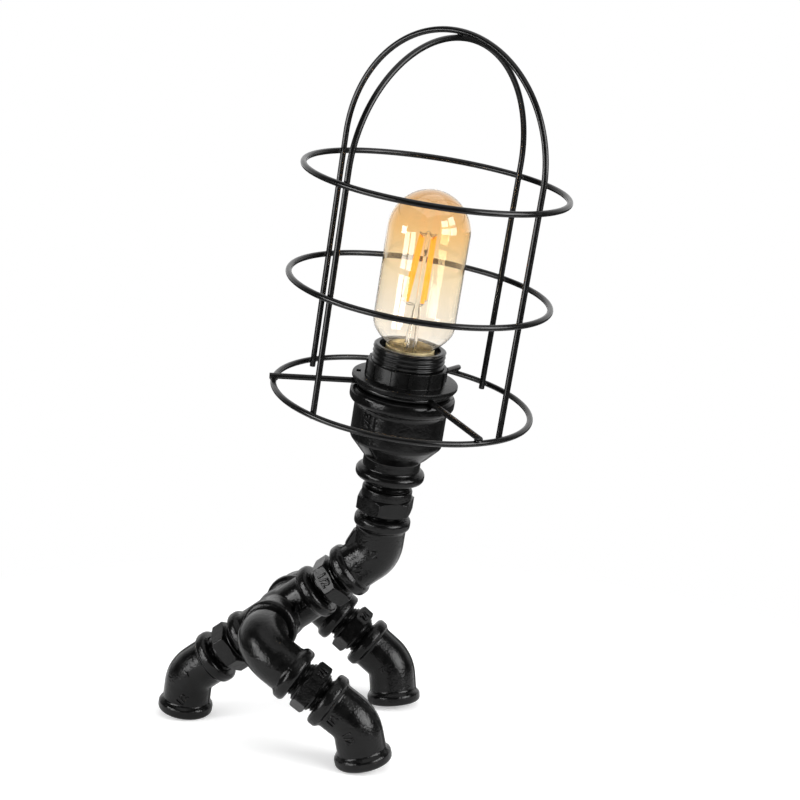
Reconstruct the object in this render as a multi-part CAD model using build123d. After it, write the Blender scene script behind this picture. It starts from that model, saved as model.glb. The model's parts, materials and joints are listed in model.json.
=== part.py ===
from build123d import *
import os
from math import cos, hypot, radians, sin

os.makedirs("parts", exist_ok=True)

# ---------------------------------------------------------------------------
# Driving dimensions, in millimetres and degrees
# ---------------------------------------------------------------------------

# Pipe threads, drawn as plain cylinders at their major diameter
HALF_INCH_R = 20.955 / 2
THREE_QUARTER_R = 26.441 / 2
HALF_INCH_TAPPED_R = 18.631 / 2  # crest of an empty half-inch socket thread
THREAD_GAP = 0.03  # radial play between a male thread and its socket
THREAD_DEPTH = 14.5  # length of each open female thread
THREAD_SPARE = 0.7  # female thread left empty beyond a male end
THREAD_CHAMFER = 1.0

# Half-inch malleable fittings
BODY_R = 13.3
BEAD_R = 15.6
BEAD_LENGTH = 5.6
BEAD_ROUND = 2.5
BEAD_SLOPE = 1.9  # length over which a bead falls to the body behind it
BEAD_BLEND = 2.0  # hollow at the foot of that slope
PASSAGE_R = 9.0
BEND_R = 16.0  # centre-line radius of every elbow
CROSS_REACH = 28.5  # centre to face
ELBOW_REACH = 22.75  # 45-degree elbow, centre to each face
STREET_FEMALE_REACH = 29.5
STREET_MALE_REACH = 37.0
STREET_THREAD = 15.0
STREET_TAPER = 2.0  # where the body narrows to the male thread
STREET_ENGAGED = 10.8
CROTCH_R = 14.6  # ball that fills the corners between the arms of the cross
SEAM_HEIGHT = 0.5  # casting seam round each 45-degree elbow, in the plane of its bend
SEAM_WIDTH = 2.4
CUT_PAST = 1.0  # how far a cut runs past the face it opens

# Half-inch hex nipples
NIPPLE_LENGTH = 44.0
NIPPLE_GAP = 16.4  # between the two fittings that a nipple joins
NIPPLE_HEX = 26.0
NIPPLE_HEX_LENGTH = 8.4
NIPPLE_COLLAR_R = 11.5
NIPPLE_COLLAR_LENGTH = 1.4
NIPPLE_BORE_R = 7.8
HEX_CHAMFER = 1.0

# Hex reducing nipple, half inch below and three-quarter inch above
REDUCING_HALF_ENGAGED = 13.5
REDUCING_LOWER_NECK = 3.1
REDUCING_HEX = 29.0
REDUCING_HEX_LENGTH = 8.5
REDUCING_SHOULDER_R = 14.6
REDUCING_SHOULDER = 5.2
REDUCING_ROUND = 3.0
REDUCING_UPPER_NECK = 5.2
REDUCING_LARGE_ENGAGED = 14.5

# Reducing socket, one-and-a-quarter inch above and three-quarter inch below
SOCKET_LENGTH = 51.2
SOCKET_BORE_R = 20.1
SOCKET_FLOOR = 1.5  # from the bore's floor corner to where the body starts to narrow
SOCKET_BODY_R = 25.2
SOCKET_CONE = 12.0  # length over which the body narrows
SOCKET_NECK_R = 16.5
SOCKET_NECK = 3.0  # straight neck between the cone and the lower bead
SOCKET_TOP_BEAD_R = 28.6
SOCKET_TOP_BEAD = 6.8
SOCKET_SLOPE = 2.6
SOCKET_ROUND = 3.0
SOCKET_LOW_BEAD_R = 19.2
SOCKET_LOW_BEAD = 5.8
SOCKET_BLEND = 3.5
SOCKET_RIB = 0.6  # height of the two casting ribs
SOCKET_RIB_WIDTH = 6.0
SOCKET_RIB_AZIMUTH = -13.0

# How far each piece is turned on its thread
NEAR_LEG_ANGLE = 71.3  # street elbow outlets, measured down from the main axis
FAR_LEG_ANGLE = 75.6
REAR_FOOT_TWIST = 4.2
NEAR_FOOT_TWIST = 4.6
FAR_FOOT_TWIST = -9.1
NECK_TWIST = 7.7
REAR_HEX_TURN = -3.0
NECK_HEX_TURN = -20.0
NEAR_HEX_TURN = -16.0
FAR_HEX_TURN = -8.0
REDUCING_HEX_TURN = 26.0

# Hollow tube that ties the lampholder to the reducing nipple
TUBE_R = 5.0
TUBE_BORE_R = 3.6
TUBE_TAIL = 1.8  # below the lower nut
TUBE_GRIP = 8.0  # inside the lampholder
NUT_HEX = 14.0
NUT_HEIGHT = 3.5
WASHER_THICKNESS = 1.5
UPPER_WASHER_R = 11.0
LOWER_WASHER_R = 8.75

# E27 lampholder with a threaded skirt; heights are above the socket's face
SKIRT_R = 19.7
SKIRT_TOP = 24.4
SKIRT_JOINT = -12.0  # where the skirt meets the lower cap
MOUTH_R = 16.6
MOUTH_DEPTH = 3.4
SHELL_R = 13.27  # inside of the brass screw shell
SHELL_WALL = 0.45
SHELL_FLOOR_R = 9.5
SHELL_FLOOR = 0.5
BLOCK_R = 17.0
BLOCK_HEIGHT = 10.0
BLOCK_WELL_R = 7.0
BLOCK_WELL = 6.0
SNUG = 0.05
CAP_SPIGOT_R = 15.0
CAP_SHOULDER = 4.0
CAP_BOSS_R = 8.0
CAP_BOSS = 2.7  # below the cap's dome
CAP_WALL = 2.2
TONGUE_WIDTH = 5.0
TONGUE_THICKNESS = 0.6
TERMINAL_R = 1.9
TERMINAL_HEAD_R = 2.9
TERMINAL_SPACING = 23.0

# Shade ring
RING_GAP = 0.06  # thread play on the skirt
FLANGE_R = 28.1
FLANGE_THICKNESS = 3.0
FLANGE_STEP = 0.6
COLLAR_R = 21.6
COLLAR_HEIGHT = 8.6
GRIP_COUNT = 12
GRIP_WIDTH = 1.3
GRIP_HEIGHT = 0.7

# Wire cage; heights are above the socket's face
WIRE_R = 1.6
HUB_RING_R = 24.3
CAGE_RING_R = 70.0
BOTTOM_RING_HEIGHT = -5.0
MIDDLE_RING_HEIGHT = 56.8
TOP_RING_HEIGHT = 115.0
HOOP_STRAIGHT = 10.4  # upright above the top ring before the arch begins
HOOP_TAIL = 2.2  # upright below the bottom ring
SPOKE_TAIL = 2.0
SPOKE_COUNT = 3
SPOKE_AZIMUTH = 190.0
UPPER_HOOP_AZIMUTH = -34.0
LOWER_HOOP_AZIMUTH = 53.0
CAGE_CLEARANCE = 0.2  # under and over the hub ring
WELD_GAP = 0.02  # where two wires touch

# T45 filament bulb on an E27 cap; heights are above the socket's face
BULB_R = 22.0
BULB_TOP = 110.0
GLASS_WALL = 0.9
GLASS_NECK_R = 12.6
GLASS_FOOT = 16.0
GLASS_SHOULDER = 38.0
CAP_R = 13.2  # thread crest
CAP_METAL = 0.4
CAP_RIM = 24.5
CAP_THREAD_END = 5.0
CAP_CONE_R = 8.6
CAP_CONE_END = 1.0
INSULATOR_R = 4.8
INSULATOR_HEIGHT = 2.4
TIP_HEIGHT = 1.2
STEM_FLARE_HEIGHT = 10.0
STEM_R = 3.4
STEM_TOP = 46.0
STEM_ROD_R = 1.0
STEM_ROD_TOP = 88.0
FILAMENT_COUNT = 4
FILAMENT_R = 1.1
FILAMENT_LOW = 50.5
FILAMENT_HIGH = 84.5
FILAMENT_LOW_RADIUS = 6.4
FILAMENT_HIGH_RADIUS = 4.3
FILAMENT_AZIMUTH = 30.0
LEAD_R = 0.35
LEAD_ROOT = 0.3  # share of the lower ends' spread at which the wires leave the stem
LEAD_HOOK = 0.2  # share of the upper ends' spread at which they meet the rod
CONTACT_TOUCH = 0.05  # between the bulb's tip and the centre contact

# ---------------------------------------------------------------------------
# Directions and places, in the frame of the cross: X along the main pipe
# towards the neck, Y along the side arms, Z square to both
# ---------------------------------------------------------------------------

MAIN = Vector(1, 0, 0)
SIDE = Vector(0, 1, 0)
NORMAL = Vector(0, 0, 1)
HALF_TURN = 45.0  # turn of a 45-degree elbow


def turned(vector, axis, degrees):
    """A vector turned about an axis through the origin."""
    return vector.rotate(Axis((0, 0, 0), tuple(axis)), degrees)


def frame(origin, x_dir, z_dir):
    """Location of a local frame from its origin, X direction and Z direction."""
    return Plane(origin=origin, x_dir=x_dir, z_dir=z_dir).location


def elbow_outlet(inlet, up, degrees):
    """Direction of an elbow's second port, from its first port and its local Z."""
    return inlet * -cos(radians(degrees)) + up * -sin(radians(degrees))


def leg_places(side, leg_angle, foot_twist):
    """Frames and directions of one side leg; side is -1 for near and 1 for far."""
    corner = SIDE * side * (CROSS_REACH + STREET_MALE_REACH - STREET_ENGAGED)
    down = MAIN * cos(radians(leg_angle)) - NORMAL * sin(radians(leg_angle))
    up = turned(MAIN * sin(radians(leg_angle)) + NORMAL * cos(radians(leg_angle)), down, foot_twist)
    knee = corner + down * STREET_FEMALE_REACH
    ankle = knee + down * (NIPPLE_GAP + ELBOW_REACH)
    return {
        "street": frame(corner, SIDE * -side, down * -1),
        "nipple": frame(knee + down * (NIPPLE_GAP / 2), up, down),
        "elbow": frame(ankle, down * -1, up),
        "foot": ankle + elbow_outlet(down * -1, up, HALF_TURN) * ELBOW_REACH,
        "exit": elbow_outlet(down * -1, up, HALF_TURN),
    }


def rear_places():
    """Frames and directions of the rear leg, which runs down the main axis."""
    up = turned(NORMAL, MAIN, REAR_FOOT_TWIST)
    ankle = MAIN * -(CROSS_REACH + NIPPLE_GAP + ELBOW_REACH)
    return {
        "nipple": frame(MAIN * -(CROSS_REACH + NIPPLE_GAP / 2), NORMAL, MAIN),
        "elbow": frame(ankle, MAIN, up),
        "foot": ankle + elbow_outlet(MAIN, up, HALF_TURN) * ELBOW_REACH,
        "exit": elbow_outlet(MAIN, up, HALF_TURN),
    }


def neck_places():
    """Frames of the neck nipple, the neck elbow and the lamp head.

    The head frame has its origin in the reducing socket's top face, Z along the
    lamp axis and X on the side that the main pipe points to.
    """
    down = turned(NORMAL, MAIN, NECK_TWIST) * -1
    throat = MAIN * (CROSS_REACH + NIPPLE_GAP + ELBOW_REACH)
    lamp_axis = elbow_outlet(MAIN * -1, down, HALF_TURN)
    across = (MAIN - lamp_axis * MAIN.dot(lamp_axis)).normalized()
    face = throat + lamp_axis * (ELBOW_REACH + REDUCING_GAP + SOCKET_LENGTH)
    return {
        "nipple": frame(MAIN * (CROSS_REACH + NIPPLE_GAP / 2), NORMAL, MAIN),
        "elbow": frame(throat, MAIN * -1, down),
        "head": frame(face, across, lamp_axis),
    }


def stance(feet):
    """Location that stands the cross frame on its three feet.

    Each foot touches the table on its rounded bead. The centre line of that
    rounding is a circle, and the table is the plane that touches the lowest
    point of the three circles, one rounding radius further down.
    """
    rim = BEAD_R - BEAD_ROUND
    centres = [foot["foot"] - foot["exit"] * BEAD_ROUND for foot in feet]
    touches = list(centres)
    for _ in range(STANCE_STEPS):
        up = (touches[1] - touches[0]).cross(touches[2] - touches[0]).normalized()
        lowest = [(foot["exit"] * foot["exit"].dot(up) - up).normalized() for foot in feet]
        touches = [centre + way * rim for centre, way in zip(centres, lowest)]
    ahead = (MAIN - up * MAIN.dot(up)).normalized()
    table = Plane(origin=up * (touches[0].dot(up) - BEAD_ROUND), x_dir=ahead, z_dir=up)
    return table.location.inverse()


STANCE_STEPS = 40
REDUCING_GAP = REDUCING_LOWER_NECK + REDUCING_HEX_LENGTH + REDUCING_SHOULDER + REDUCING_UPPER_NECK
NIPPLE_ENGAGED = (NIPPLE_LENGTH - NIPPLE_GAP) / 2
SOCKET_NECK_START = SOCKET_LENGTH - SOCKET_LOW_BEAD - BEAD_SLOPE - SOCKET_NECK
SOCKET_BODY_END = SOCKET_NECK_START - SOCKET_CONE
REAR = rear_places()
NEAR = leg_places(-1, NEAR_LEG_ANGLE, NEAR_FOOT_TWIST)
FAR = leg_places(1, FAR_LEG_ANGLE, FAR_FOOT_TWIST)
NECK = neck_places()
STAND = stance([REAR, NEAR, FAR])

# ---------------------------------------------------------------------------
# Shapes that repeat
# ---------------------------------------------------------------------------


def spun(points):
    """Solid of revolution about Z from a closed outline of (radius, height) points."""
    return revolve(Plane.XZ * make_face(Polyline(*points, close=True)), axis=Axis.Z)


def tube(outer_r, inner_r, low, high):
    """Hollow cylinder along Z between two heights."""
    return spun([(inner_r, low), (outer_r, low), (outer_r, high), (inner_r, high)])


def rod(radius, low, high):
    """Cylinder along Z between two heights."""
    return Pos(0, 0, low) * Cylinder(radius, high - low, align=(Align.CENTER, Align.CENTER, Align.MIN))


def along(location, start, end, radius):
    """Round bar between two points, set in a frame."""
    way = Vector(*end) - Vector(*start)
    bar = Plane(origin=start, z_dir=way) * Cylinder(
        radius, way.length, align=(Align.CENTER, Align.CENTER, Align.MIN)
    )
    return location * bar


def hex_bar(across_flats, low, high):
    """Chamfered hexagon along Z between two heights."""
    prism = extrude(RegularPolygon(across_flats / 2, 6, major_radius=False), high - low)
    corner_r = across_flats / 2 / cos(radians(30))
    turned_blank = Cylinder(corner_r, high - low, align=(Align.CENTER, Align.CENTER, Align.MIN))
    turned_blank = chamfer(turned_blank.edges(), HEX_CHAMFER, HEX_CHAMFER * 2)
    return Pos(0, 0, low) * (prism & turned_blank)


def threaded_end(radius, low, high, tip_high):
    """Male thread along Z between two heights, chamfered at its tip."""
    bar = rod(radius, low, high)
    tip = bar.edges().group_by(Axis.Z)[-1 if tip_high else 0]
    return chamfer(tip, THREAD_CHAMFER)


def beaded_arm(length):
    """Arm of a fitting along Z, with its beaded face at the origin, facing up."""
    outline = make_face(
        Polyline(
            (0, 0),
            (BEAD_R, 0),
            (BEAD_R, -BEAD_LENGTH),
            (BODY_R, -BEAD_LENGTH - BEAD_SLOPE),
            (BODY_R, -length),
            (0, -length),
            close=True,
        )
    )
    for radius, height, rounding in [
        (BEAD_R, 0, BEAD_ROUND),
        (BEAD_R, -BEAD_LENGTH, BEAD_ROUND),
        (BODY_R, -BEAD_LENGTH - BEAD_SLOPE, BEAD_BLEND),
    ]:
        outline = rounded(outline, radius, height, rounding)
    return revolve(Plane.XZ * outline, axis=Axis.Z)


def rounded(outline, radius, height, rounding):
    """Outline with the corner nearest to a point rounded."""
    corner = outline.vertices().sort_by_distance(Vector(radius, height, 0))[0]
    return fillet(corner, rounding)


def threaded_bore(radius, depth):
    """Cut for a female thread whose face is at the origin, facing up."""
    return rod(radius, -depth, CUT_PAST)


def filled_bore(engaged):
    """Cut for a half-inch female thread that takes a male end of that length."""
    return threaded_bore(HALF_INCH_R + THREAD_GAP, engaged + THREAD_SPARE)


def bend_path(first, second, degrees):
    """Centre line of an elbow, from its first port on +X to its second port."""
    corner = tangent_length(degrees)
    outlet = elbow_outlet(MAIN, NORMAL, degrees)
    start = Line(MAIN * first, MAIN * corner)
    bend = TangentArc(MAIN * corner, outlet * corner, tangent=MAIN * -1)
    return start + bend + Line(outlet * corner, outlet * second)


def tangent_length(degrees):
    """Distance from an elbow's corner to the ends of its bend."""
    return BEND_R * sin(radians(degrees / 2)) / cos(radians(degrees / 2))


def swept(section, first, second, degrees):
    """Solid bar of a given section that follows an elbow's centre line."""
    start = Plane(origin=MAIN * first, x_dir=SIDE, z_dir=MAIN * -1)
    return sweep(start * section, path=bend_path(first, second, degrees))


# ---------------------------------------------------------------------------
# Pipe fittings
# ---------------------------------------------------------------------------


def cross_fitting():
    """Four-way cross with its arms along X and Y, every thread in use."""
    body = Sphere(CROTCH_R)
    cuts = Sphere(PASSAGE_R)
    for turn in range(0, 360, 90):
        port = Rot(Z=turn) * frame(MAIN * CROSS_REACH, SIDE, MAIN)
        body += port * beaded_arm(CROSS_REACH)
        cuts += port * filled_bore(max(NIPPLE_ENGAGED, STREET_ENGAGED))
        cuts += port * rod(PASSAGE_R, -CROSS_REACH, 0)
    return body - cuts


def elbow(second_bore):
    """45-degree elbow with a nipple in its first port, on +X, and its casting seam left on."""
    inlet = frame(MAIN * ELBOW_REACH, SIDE, MAIN)
    way = elbow_outlet(MAIN, NORMAL, HALF_TURN)
    outlet = frame(way * ELBOW_REACH, SIDE, way)
    arm = ELBOW_REACH - tangent_length(HALF_TURN)
    bend_end = ELBOW_REACH - BEAD_LENGTH
    seam = Rectangle(SEAM_WIDTH, 2 * (BODY_R + SEAM_HEIGHT))
    body = swept(Circle(BODY_R), bend_end, bend_end, HALF_TURN)
    body += swept(seam, bend_end, bend_end, HALF_TURN)
    body += inlet * beaded_arm(arm) + outlet * beaded_arm(arm)
    body -= swept(Circle(PASSAGE_R), ELBOW_REACH, ELBOW_REACH, HALF_TURN)
    return body - inlet * filled_bore(NIPPLE_ENGAGED) - outlet * second_bore


def street_elbow():
    """90-degree elbow with a male first port on +X and a female second port."""
    way = elbow_outlet(MAIN, NORMAL, 90)
    outlet = frame(way * STREET_FEMALE_REACH, SIDE, way)
    male = frame(MAIN * STREET_MALE_REACH, SIDE, MAIN)
    body_end = STREET_THREAD + STREET_TAPER
    body = swept(Circle(BODY_R), STREET_MALE_REACH - body_end, STREET_FEMALE_REACH - BEAD_LENGTH, 90)
    body += outlet * beaded_arm(STREET_FEMALE_REACH - tangent_length(90))
    body += male * spun(
        [(0, -STREET_THREAD), (HALF_INCH_R, -STREET_THREAD), (BODY_R, -body_end), (0, -body_end)]
    )
    body += male * threaded_end(HALF_INCH_R, -STREET_THREAD, 0, True)
    body -= swept(Circle(NIPPLE_BORE_R), STREET_MALE_REACH, STREET_FEMALE_REACH, 90)
    return body - outlet * filled_bore(NIPPLE_ENGAGED)


def hex_nipple():
    """Half-inch nipple along Z, centred on its hexagon."""
    half_hex = NIPPLE_HEX_LENGTH / 2
    collar = half_hex + NIPPLE_COLLAR_LENGTH
    body = threaded_end(HALF_INCH_R, 0, NIPPLE_LENGTH / 2, True)
    body += threaded_end(HALF_INCH_R, -NIPPLE_LENGTH / 2, 0, False)
    body += rod(NIPPLE_COLLAR_R, -collar, collar)
    body += hex_bar(NIPPLE_HEX, -half_hex, half_hex)
    return body - rod(NIPPLE_BORE_R, -NIPPLE_LENGTH / 2, NIPPLE_LENGTH / 2)


def reducing_nipple():
    """Hex reducing nipple in the head frame, between neck elbow and socket."""
    low_face = -SOCKET_LENGTH - REDUCING_GAP
    hex_low = low_face + REDUCING_LOWER_NECK
    hex_high = hex_low + REDUCING_HEX_LENGTH
    neck = hex_high + REDUCING_SHOULDER
    low_end, high_end = reducing_nipple_ends()
    shoulder = rod(REDUCING_SHOULDER_R, hex_high, neck)
    shoulder = fillet(shoulder.edges().group_by(Axis.Z)[-1], REDUCING_ROUND)
    body = threaded_end(HALF_INCH_R, low_end, hex_low, False) + shoulder
    body += Rot(Z=REDUCING_HEX_TURN) * hex_bar(REDUCING_HEX, hex_low, hex_high)
    body += threaded_end(THREE_QUARTER_R, neck, high_end, True)
    return body - rod(NIPPLE_BORE_R, low_end, high_end)


def reducing_nipple_ends():
    """Heights of the reducing nipple's two end faces in the head frame."""
    low_face = -SOCKET_LENGTH - REDUCING_GAP
    return low_face - REDUCING_HALF_ENGAGED, -SOCKET_LENGTH + REDUCING_LARGE_ENGAGED


def socket_outline():
    """Half section of the reducing socket's outside, with its roundings."""
    outline = make_face(
        Polyline(
            (0, 0),
            (SOCKET_TOP_BEAD_R, 0),
            (SOCKET_TOP_BEAD_R, -SOCKET_TOP_BEAD),
            (SOCKET_BODY_R, -SOCKET_TOP_BEAD - SOCKET_SLOPE),
            (SOCKET_BODY_R, -SOCKET_BODY_END),
            (SOCKET_NECK_R, -SOCKET_NECK_START),
            (SOCKET_NECK_R, -SOCKET_LENGTH + SOCKET_LOW_BEAD + BEAD_SLOPE),
            (SOCKET_LOW_BEAD_R, -SOCKET_LENGTH + SOCKET_LOW_BEAD),
            (SOCKET_LOW_BEAD_R, -SOCKET_LENGTH),
            (0, -SOCKET_LENGTH),
            close=True,
        )
    )
    for radius, height, rounding in [
        (SOCKET_TOP_BEAD_R, 0, SOCKET_ROUND),
        (SOCKET_TOP_BEAD_R, -SOCKET_TOP_BEAD, SOCKET_ROUND),
        (SOCKET_BODY_R, -SOCKET_TOP_BEAD - SOCKET_SLOPE, SOCKET_BLEND),
        (SOCKET_BODY_R, -SOCKET_BODY_END, SOCKET_BLEND),
        (SOCKET_NECK_R, -SOCKET_NECK_START, SOCKET_BLEND),
        (SOCKET_NECK_R, -SOCKET_LENGTH + SOCKET_LOW_BEAD + BEAD_SLOPE, BEAD_BLEND),
        (SOCKET_LOW_BEAD_R, -SOCKET_LENGTH + SOCKET_LOW_BEAD, BEAD_ROUND),
        (SOCKET_LOW_BEAD_R, -SOCKET_LENGTH, BEAD_ROUND),
    ]:
        outline = rounded(outline, radius, height, rounding)
    return outline


def reducing_socket():
    """Bell-shaped reducing socket with two casting ribs, in the head frame."""
    body = revolve(Plane.XZ * socket_outline(), axis=Axis.Z)
    outside = SOCKET_BODY_R + SOCKET_RIB
    blank = spun(
        [
            (0, -SOCKET_TOP_BEAD),
            (outside, -SOCKET_TOP_BEAD),
            (outside, -SOCKET_BODY_END),
            (SOCKET_NECK_R, -SOCKET_NECK_START - SOCKET_RIB),
            (0, -SOCKET_NECK_START - SOCKET_RIB),
        ]
    )
    ribs = Pos(0, 0, -SOCKET_LENGTH / 2) * Box(2 * outside, SOCKET_RIB_WIDTH, SOCKET_LENGTH)
    body += Rot(Z=SOCKET_RIB_AZIMUTH) * (ribs & blank)
    thread_r = THREE_QUARTER_R + THREAD_GAP
    bore = spun(
        [
            (0, CUT_PAST),
            (SOCKET_BORE_R, CUT_PAST),
            (SOCKET_BORE_R, -SOCKET_BODY_END + SOCKET_FLOOR),
            (thread_r, -SOCKET_LENGTH + REDUCING_LARGE_ENGAGED + THREAD_SPARE),
            (thread_r, -SOCKET_LENGTH - CUT_PAST),
            (0, -SOCKET_LENGTH - CUT_PAST),
        ]
    )
    return body - bore


# ---------------------------------------------------------------------------
# Lampholder and the tube that ties it down, in the head frame
# ---------------------------------------------------------------------------


def carrier_heights():
    """Heights of the tie tube's washers and nuts."""
    low_end, high_end = reducing_nipple_ends()
    return {
        "lower_washer": low_end - WASHER_THICKNESS,
        "lower_nut": low_end - WASHER_THICKNESS - NUT_HEIGHT,
        "upper_washer": high_end,
        "upper_nut": high_end + WASHER_THICKNESS,
        "holder": high_end + WASHER_THICKNESS + NUT_HEIGHT,
    }


def tie_tube():
    heights = carrier_heights()
    low = heights["lower_nut"] - TUBE_TAIL
    return tube(TUBE_R, TUBE_BORE_R, low, heights["holder"] + TUBE_GRIP)


def tie_washer(radius, low):
    return tube(radius, TUBE_R + THREAD_GAP, low, low + WASHER_THICKNESS)


def tie_nut(low):
    return hex_bar(NUT_HEX, low, low + NUT_HEIGHT) - rod(TUBE_R + THREAD_GAP, low, low + NUT_HEIGHT)


def holder_cap():
    """Lower cap of the lampholder, with the boss that screws on the tie tube."""
    boss = carrier_heights()["holder"]
    shoulder = SKIRT_JOINT - CAP_SHOULDER
    dome = boss + CAP_BOSS
    spigot_top = block_floor()
    outside = [
        (TUBE_R + THREAD_GAP, boss),
        (CAP_BOSS_R, boss),
        (CAP_BOSS_R, dome),
        (SKIRT_R, shoulder),
        (SKIRT_R, SKIRT_JOINT),
        (BLOCK_R - SNUG, SKIRT_JOINT),
        (BLOCK_R - SNUG, spigot_top),
        (CAP_SPIGOT_R, spigot_top),
        (CAP_SPIGOT_R, shoulder),
        (CAP_BOSS_R - CAP_WALL, dome + CAP_WALL),
        (TUBE_R + THREAD_GAP, dome + CAP_WALL),
    ]
    return spun(outside)


def block_floor():
    return SHELL_FLOOR - BLOCK_HEIGHT


def holder_skirt():
    """Threaded outer skirt that the shade ring screws on."""
    shell_r = SHELL_R + SHELL_WALL + SNUG
    return spun(
        [
            (MOUTH_R, SKIRT_TOP),
            (SKIRT_R - THREAD_CHAMFER, SKIRT_TOP),
            (SKIRT_R, SKIRT_TOP - THREAD_CHAMFER),
            (SKIRT_R, SKIRT_JOINT),
            (BLOCK_R, SKIRT_JOINT),
            (BLOCK_R, SHELL_FLOOR),
            (shell_r, SHELL_FLOOR),
            (shell_r, SKIRT_TOP - MOUTH_DEPTH),
            (MOUTH_R, SKIRT_TOP - MOUTH_DEPTH),
        ]
    )


def screw_shell():
    """Brass screw shell with its in-turned floor ring."""
    outer_r = SHELL_R + SHELL_WALL
    return spun(
        [
            (SHELL_FLOOR_R, SHELL_FLOOR),
            (outer_r, SHELL_FLOOR),
            (outer_r, SKIRT_TOP - MOUTH_DEPTH - SHELL_WALL),
            (SHELL_R, SKIRT_TOP - MOUTH_DEPTH - SHELL_WALL),
            (SHELL_R, SHELL_FLOOR + SHELL_WALL),
            (SHELL_FLOOR_R, SHELL_FLOOR + SHELL_WALL),
        ]
    )


def terminal_block():
    """Insulating block with a stepped well for the centre contact and two screw holes."""
    block = rod(BLOCK_R - SNUG, block_floor(), SHELL_FLOOR)
    block -= rod(BLOCK_WELL_R, SHELL_FLOOR - BLOCK_WELL, SHELL_FLOOR)
    block -= rod(SHELL_FLOOR_R, SHELL_FLOOR - INSULATOR_HEIGHT, SHELL_FLOOR)
    for side in (-1, 1):
        block -= Pos(side * TERMINAL_SPACING / 2, 0, 0) * rod(
            TERMINAL_R + SNUG, block_floor(), SHELL_FLOOR
        )
    return block


def terminal_screw(side):
    """Terminal screw that enters the block from below."""
    screw = rod(TERMINAL_R, block_floor(), SHELL_FLOOR)
    screw += rod(TERMINAL_HEAD_R, block_floor() - TERMINAL_R, block_floor())
    return Pos(side * TERMINAL_SPACING / 2, 0, 0) * screw


def centre_contact():
    """Sprung tongue that rises from the well to the bulb's tip."""
    reach = BLOCK_WELL_R - SNUG * 4
    low = SHELL_FLOOR - BLOCK_WELL
    high = tip_low() - CONTACT_TOUCH
    half = TONGUE_THICKNESS / 2
    path = Polyline(
        (-reach / 2, low + half),
        (reach / 2, low + half),
        (-reach / 2, high - half),
        (reach / 2, high - half),
    )
    ribbon = make_face(offset(path, half, side=Side.BOTH))
    return extrude(Plane.XZ * ribbon, TONGUE_WIDTH / 2, both=True)


# ---------------------------------------------------------------------------
# Shade ring and cage, in the head frame
# ---------------------------------------------------------------------------


def shade_ring():
    """Threaded collar with grip ribs on a stepped flange."""
    low = flange_underside()
    mid = low + FLANGE_THICKNESS
    high = mid + COLLAR_HEIGHT
    bore_r = SKIRT_R + RING_GAP
    body = spun(
        [
            (bore_r, low),
            (FLANGE_R - FLANGE_STEP, low),
            (FLANGE_R - FLANGE_STEP, low + FLANGE_THICKNESS / 3),
            (FLANGE_R, low + FLANGE_THICKNESS / 3),
            (FLANGE_R, mid),
            (COLLAR_R, mid),
            (COLLAR_R, high),
            (bore_r, high),
        ]
    )
    grip = Pos(COLLAR_R, 0, mid) * Box(
        2 * GRIP_HEIGHT, GRIP_WIDTH, COLLAR_HEIGHT, align=(Align.CENTER, Align.CENTER, Align.MIN)
    )
    for index in range(GRIP_COUNT):
        body += Rot(Z=index * 360 / GRIP_COUNT) * grip
    return body


def flange_underside():
    return 2 * WIRE_R + 2 * CAGE_CLEARANCE


def wire_ring(ring_r, height):
    """Closed ring of wire about the lamp axis."""
    return Pos(0, 0, height) * Torus(ring_r, WIRE_R)


def spoke(index):
    """Wire from the hub ring to just past the bottom ring, lying on top of it."""
    azimuth = SPOKE_AZIMUTH + index * 360 / SPOKE_COUNT
    hub_height = CAGE_CLEARANCE + WIRE_R
    ring_height = BOTTOM_RING_HEIGHT + 2 * WIRE_R + WELD_GAP
    slope = (ring_height - hub_height) / (CAGE_RING_R - HUB_RING_R)
    lift = (2 * WIRE_R) * (hypot(1, slope) - 1)
    end_r = CAGE_RING_R + SPOKE_TAIL
    end = (end_r, 0, ring_height + slope * SPOKE_TAIL + lift)
    bar = along(Location(), (HUB_RING_R, 0, hub_height + lift), end, WIRE_R)
    return Rot(Z=azimuth) * bar - wire_ring(HUB_RING_R, hub_height)


def hoop(azimuth, drop):
    """Upside-down U of wire: two uprights inside the rings and an arch over them."""
    hoop_r = CAGE_RING_R - 2 * WIRE_R - WELD_GAP
    low = BOTTOM_RING_HEIGHT - HOOP_TAIL
    spring = TOP_RING_HEIGHT + HOOP_STRAIGHT - drop
    path = Line((-hoop_r, 0, low), (-hoop_r, 0, spring))
    path += ThreePointArc((-hoop_r, 0, spring), (0, 0, spring + hoop_r), (hoop_r, 0, spring))
    path += Line((hoop_r, 0, spring), (hoop_r, 0, low))
    section = Plane(origin=(-hoop_r, 0, low), z_dir=(0, 0, 1)) * Circle(WIRE_R)
    return Rot(Z=azimuth) * sweep(section, path=path)


# ---------------------------------------------------------------------------
# Bulb, in the head frame
# ---------------------------------------------------------------------------


def glass_outline(inset):
    """Half section of the glass envelope, moved inwards by the inset."""
    dome = BULB_TOP - BULB_R
    tip = (0, BULB_TOP - inset)
    side = BULB_R - inset
    neck = GLASS_NECK_R - inset
    path = Line((0, GLASS_FOOT), (neck, GLASS_FOOT))
    path += Line((neck, GLASS_FOOT), (neck, CAP_RIM))
    path += Spline(
        [(neck, CAP_RIM), (side, GLASS_SHOULDER)], tangents=[(1, 1), (0, 1)]
    )
    path += Line((side, GLASS_SHOULDER), (side, dome))
    path += RadiusArc((side, dome), tip, -side)
    path += Line(tip, (0, GLASS_FOOT))
    return make_face(path)


def glass_envelope():
    """Thin glass tube with a domed top and a narrowed neck."""
    section = glass_outline(0) - glass_outline(GLASS_WALL)
    return revolve(Plane.XZ * section, axis=Axis.Z)


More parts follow.
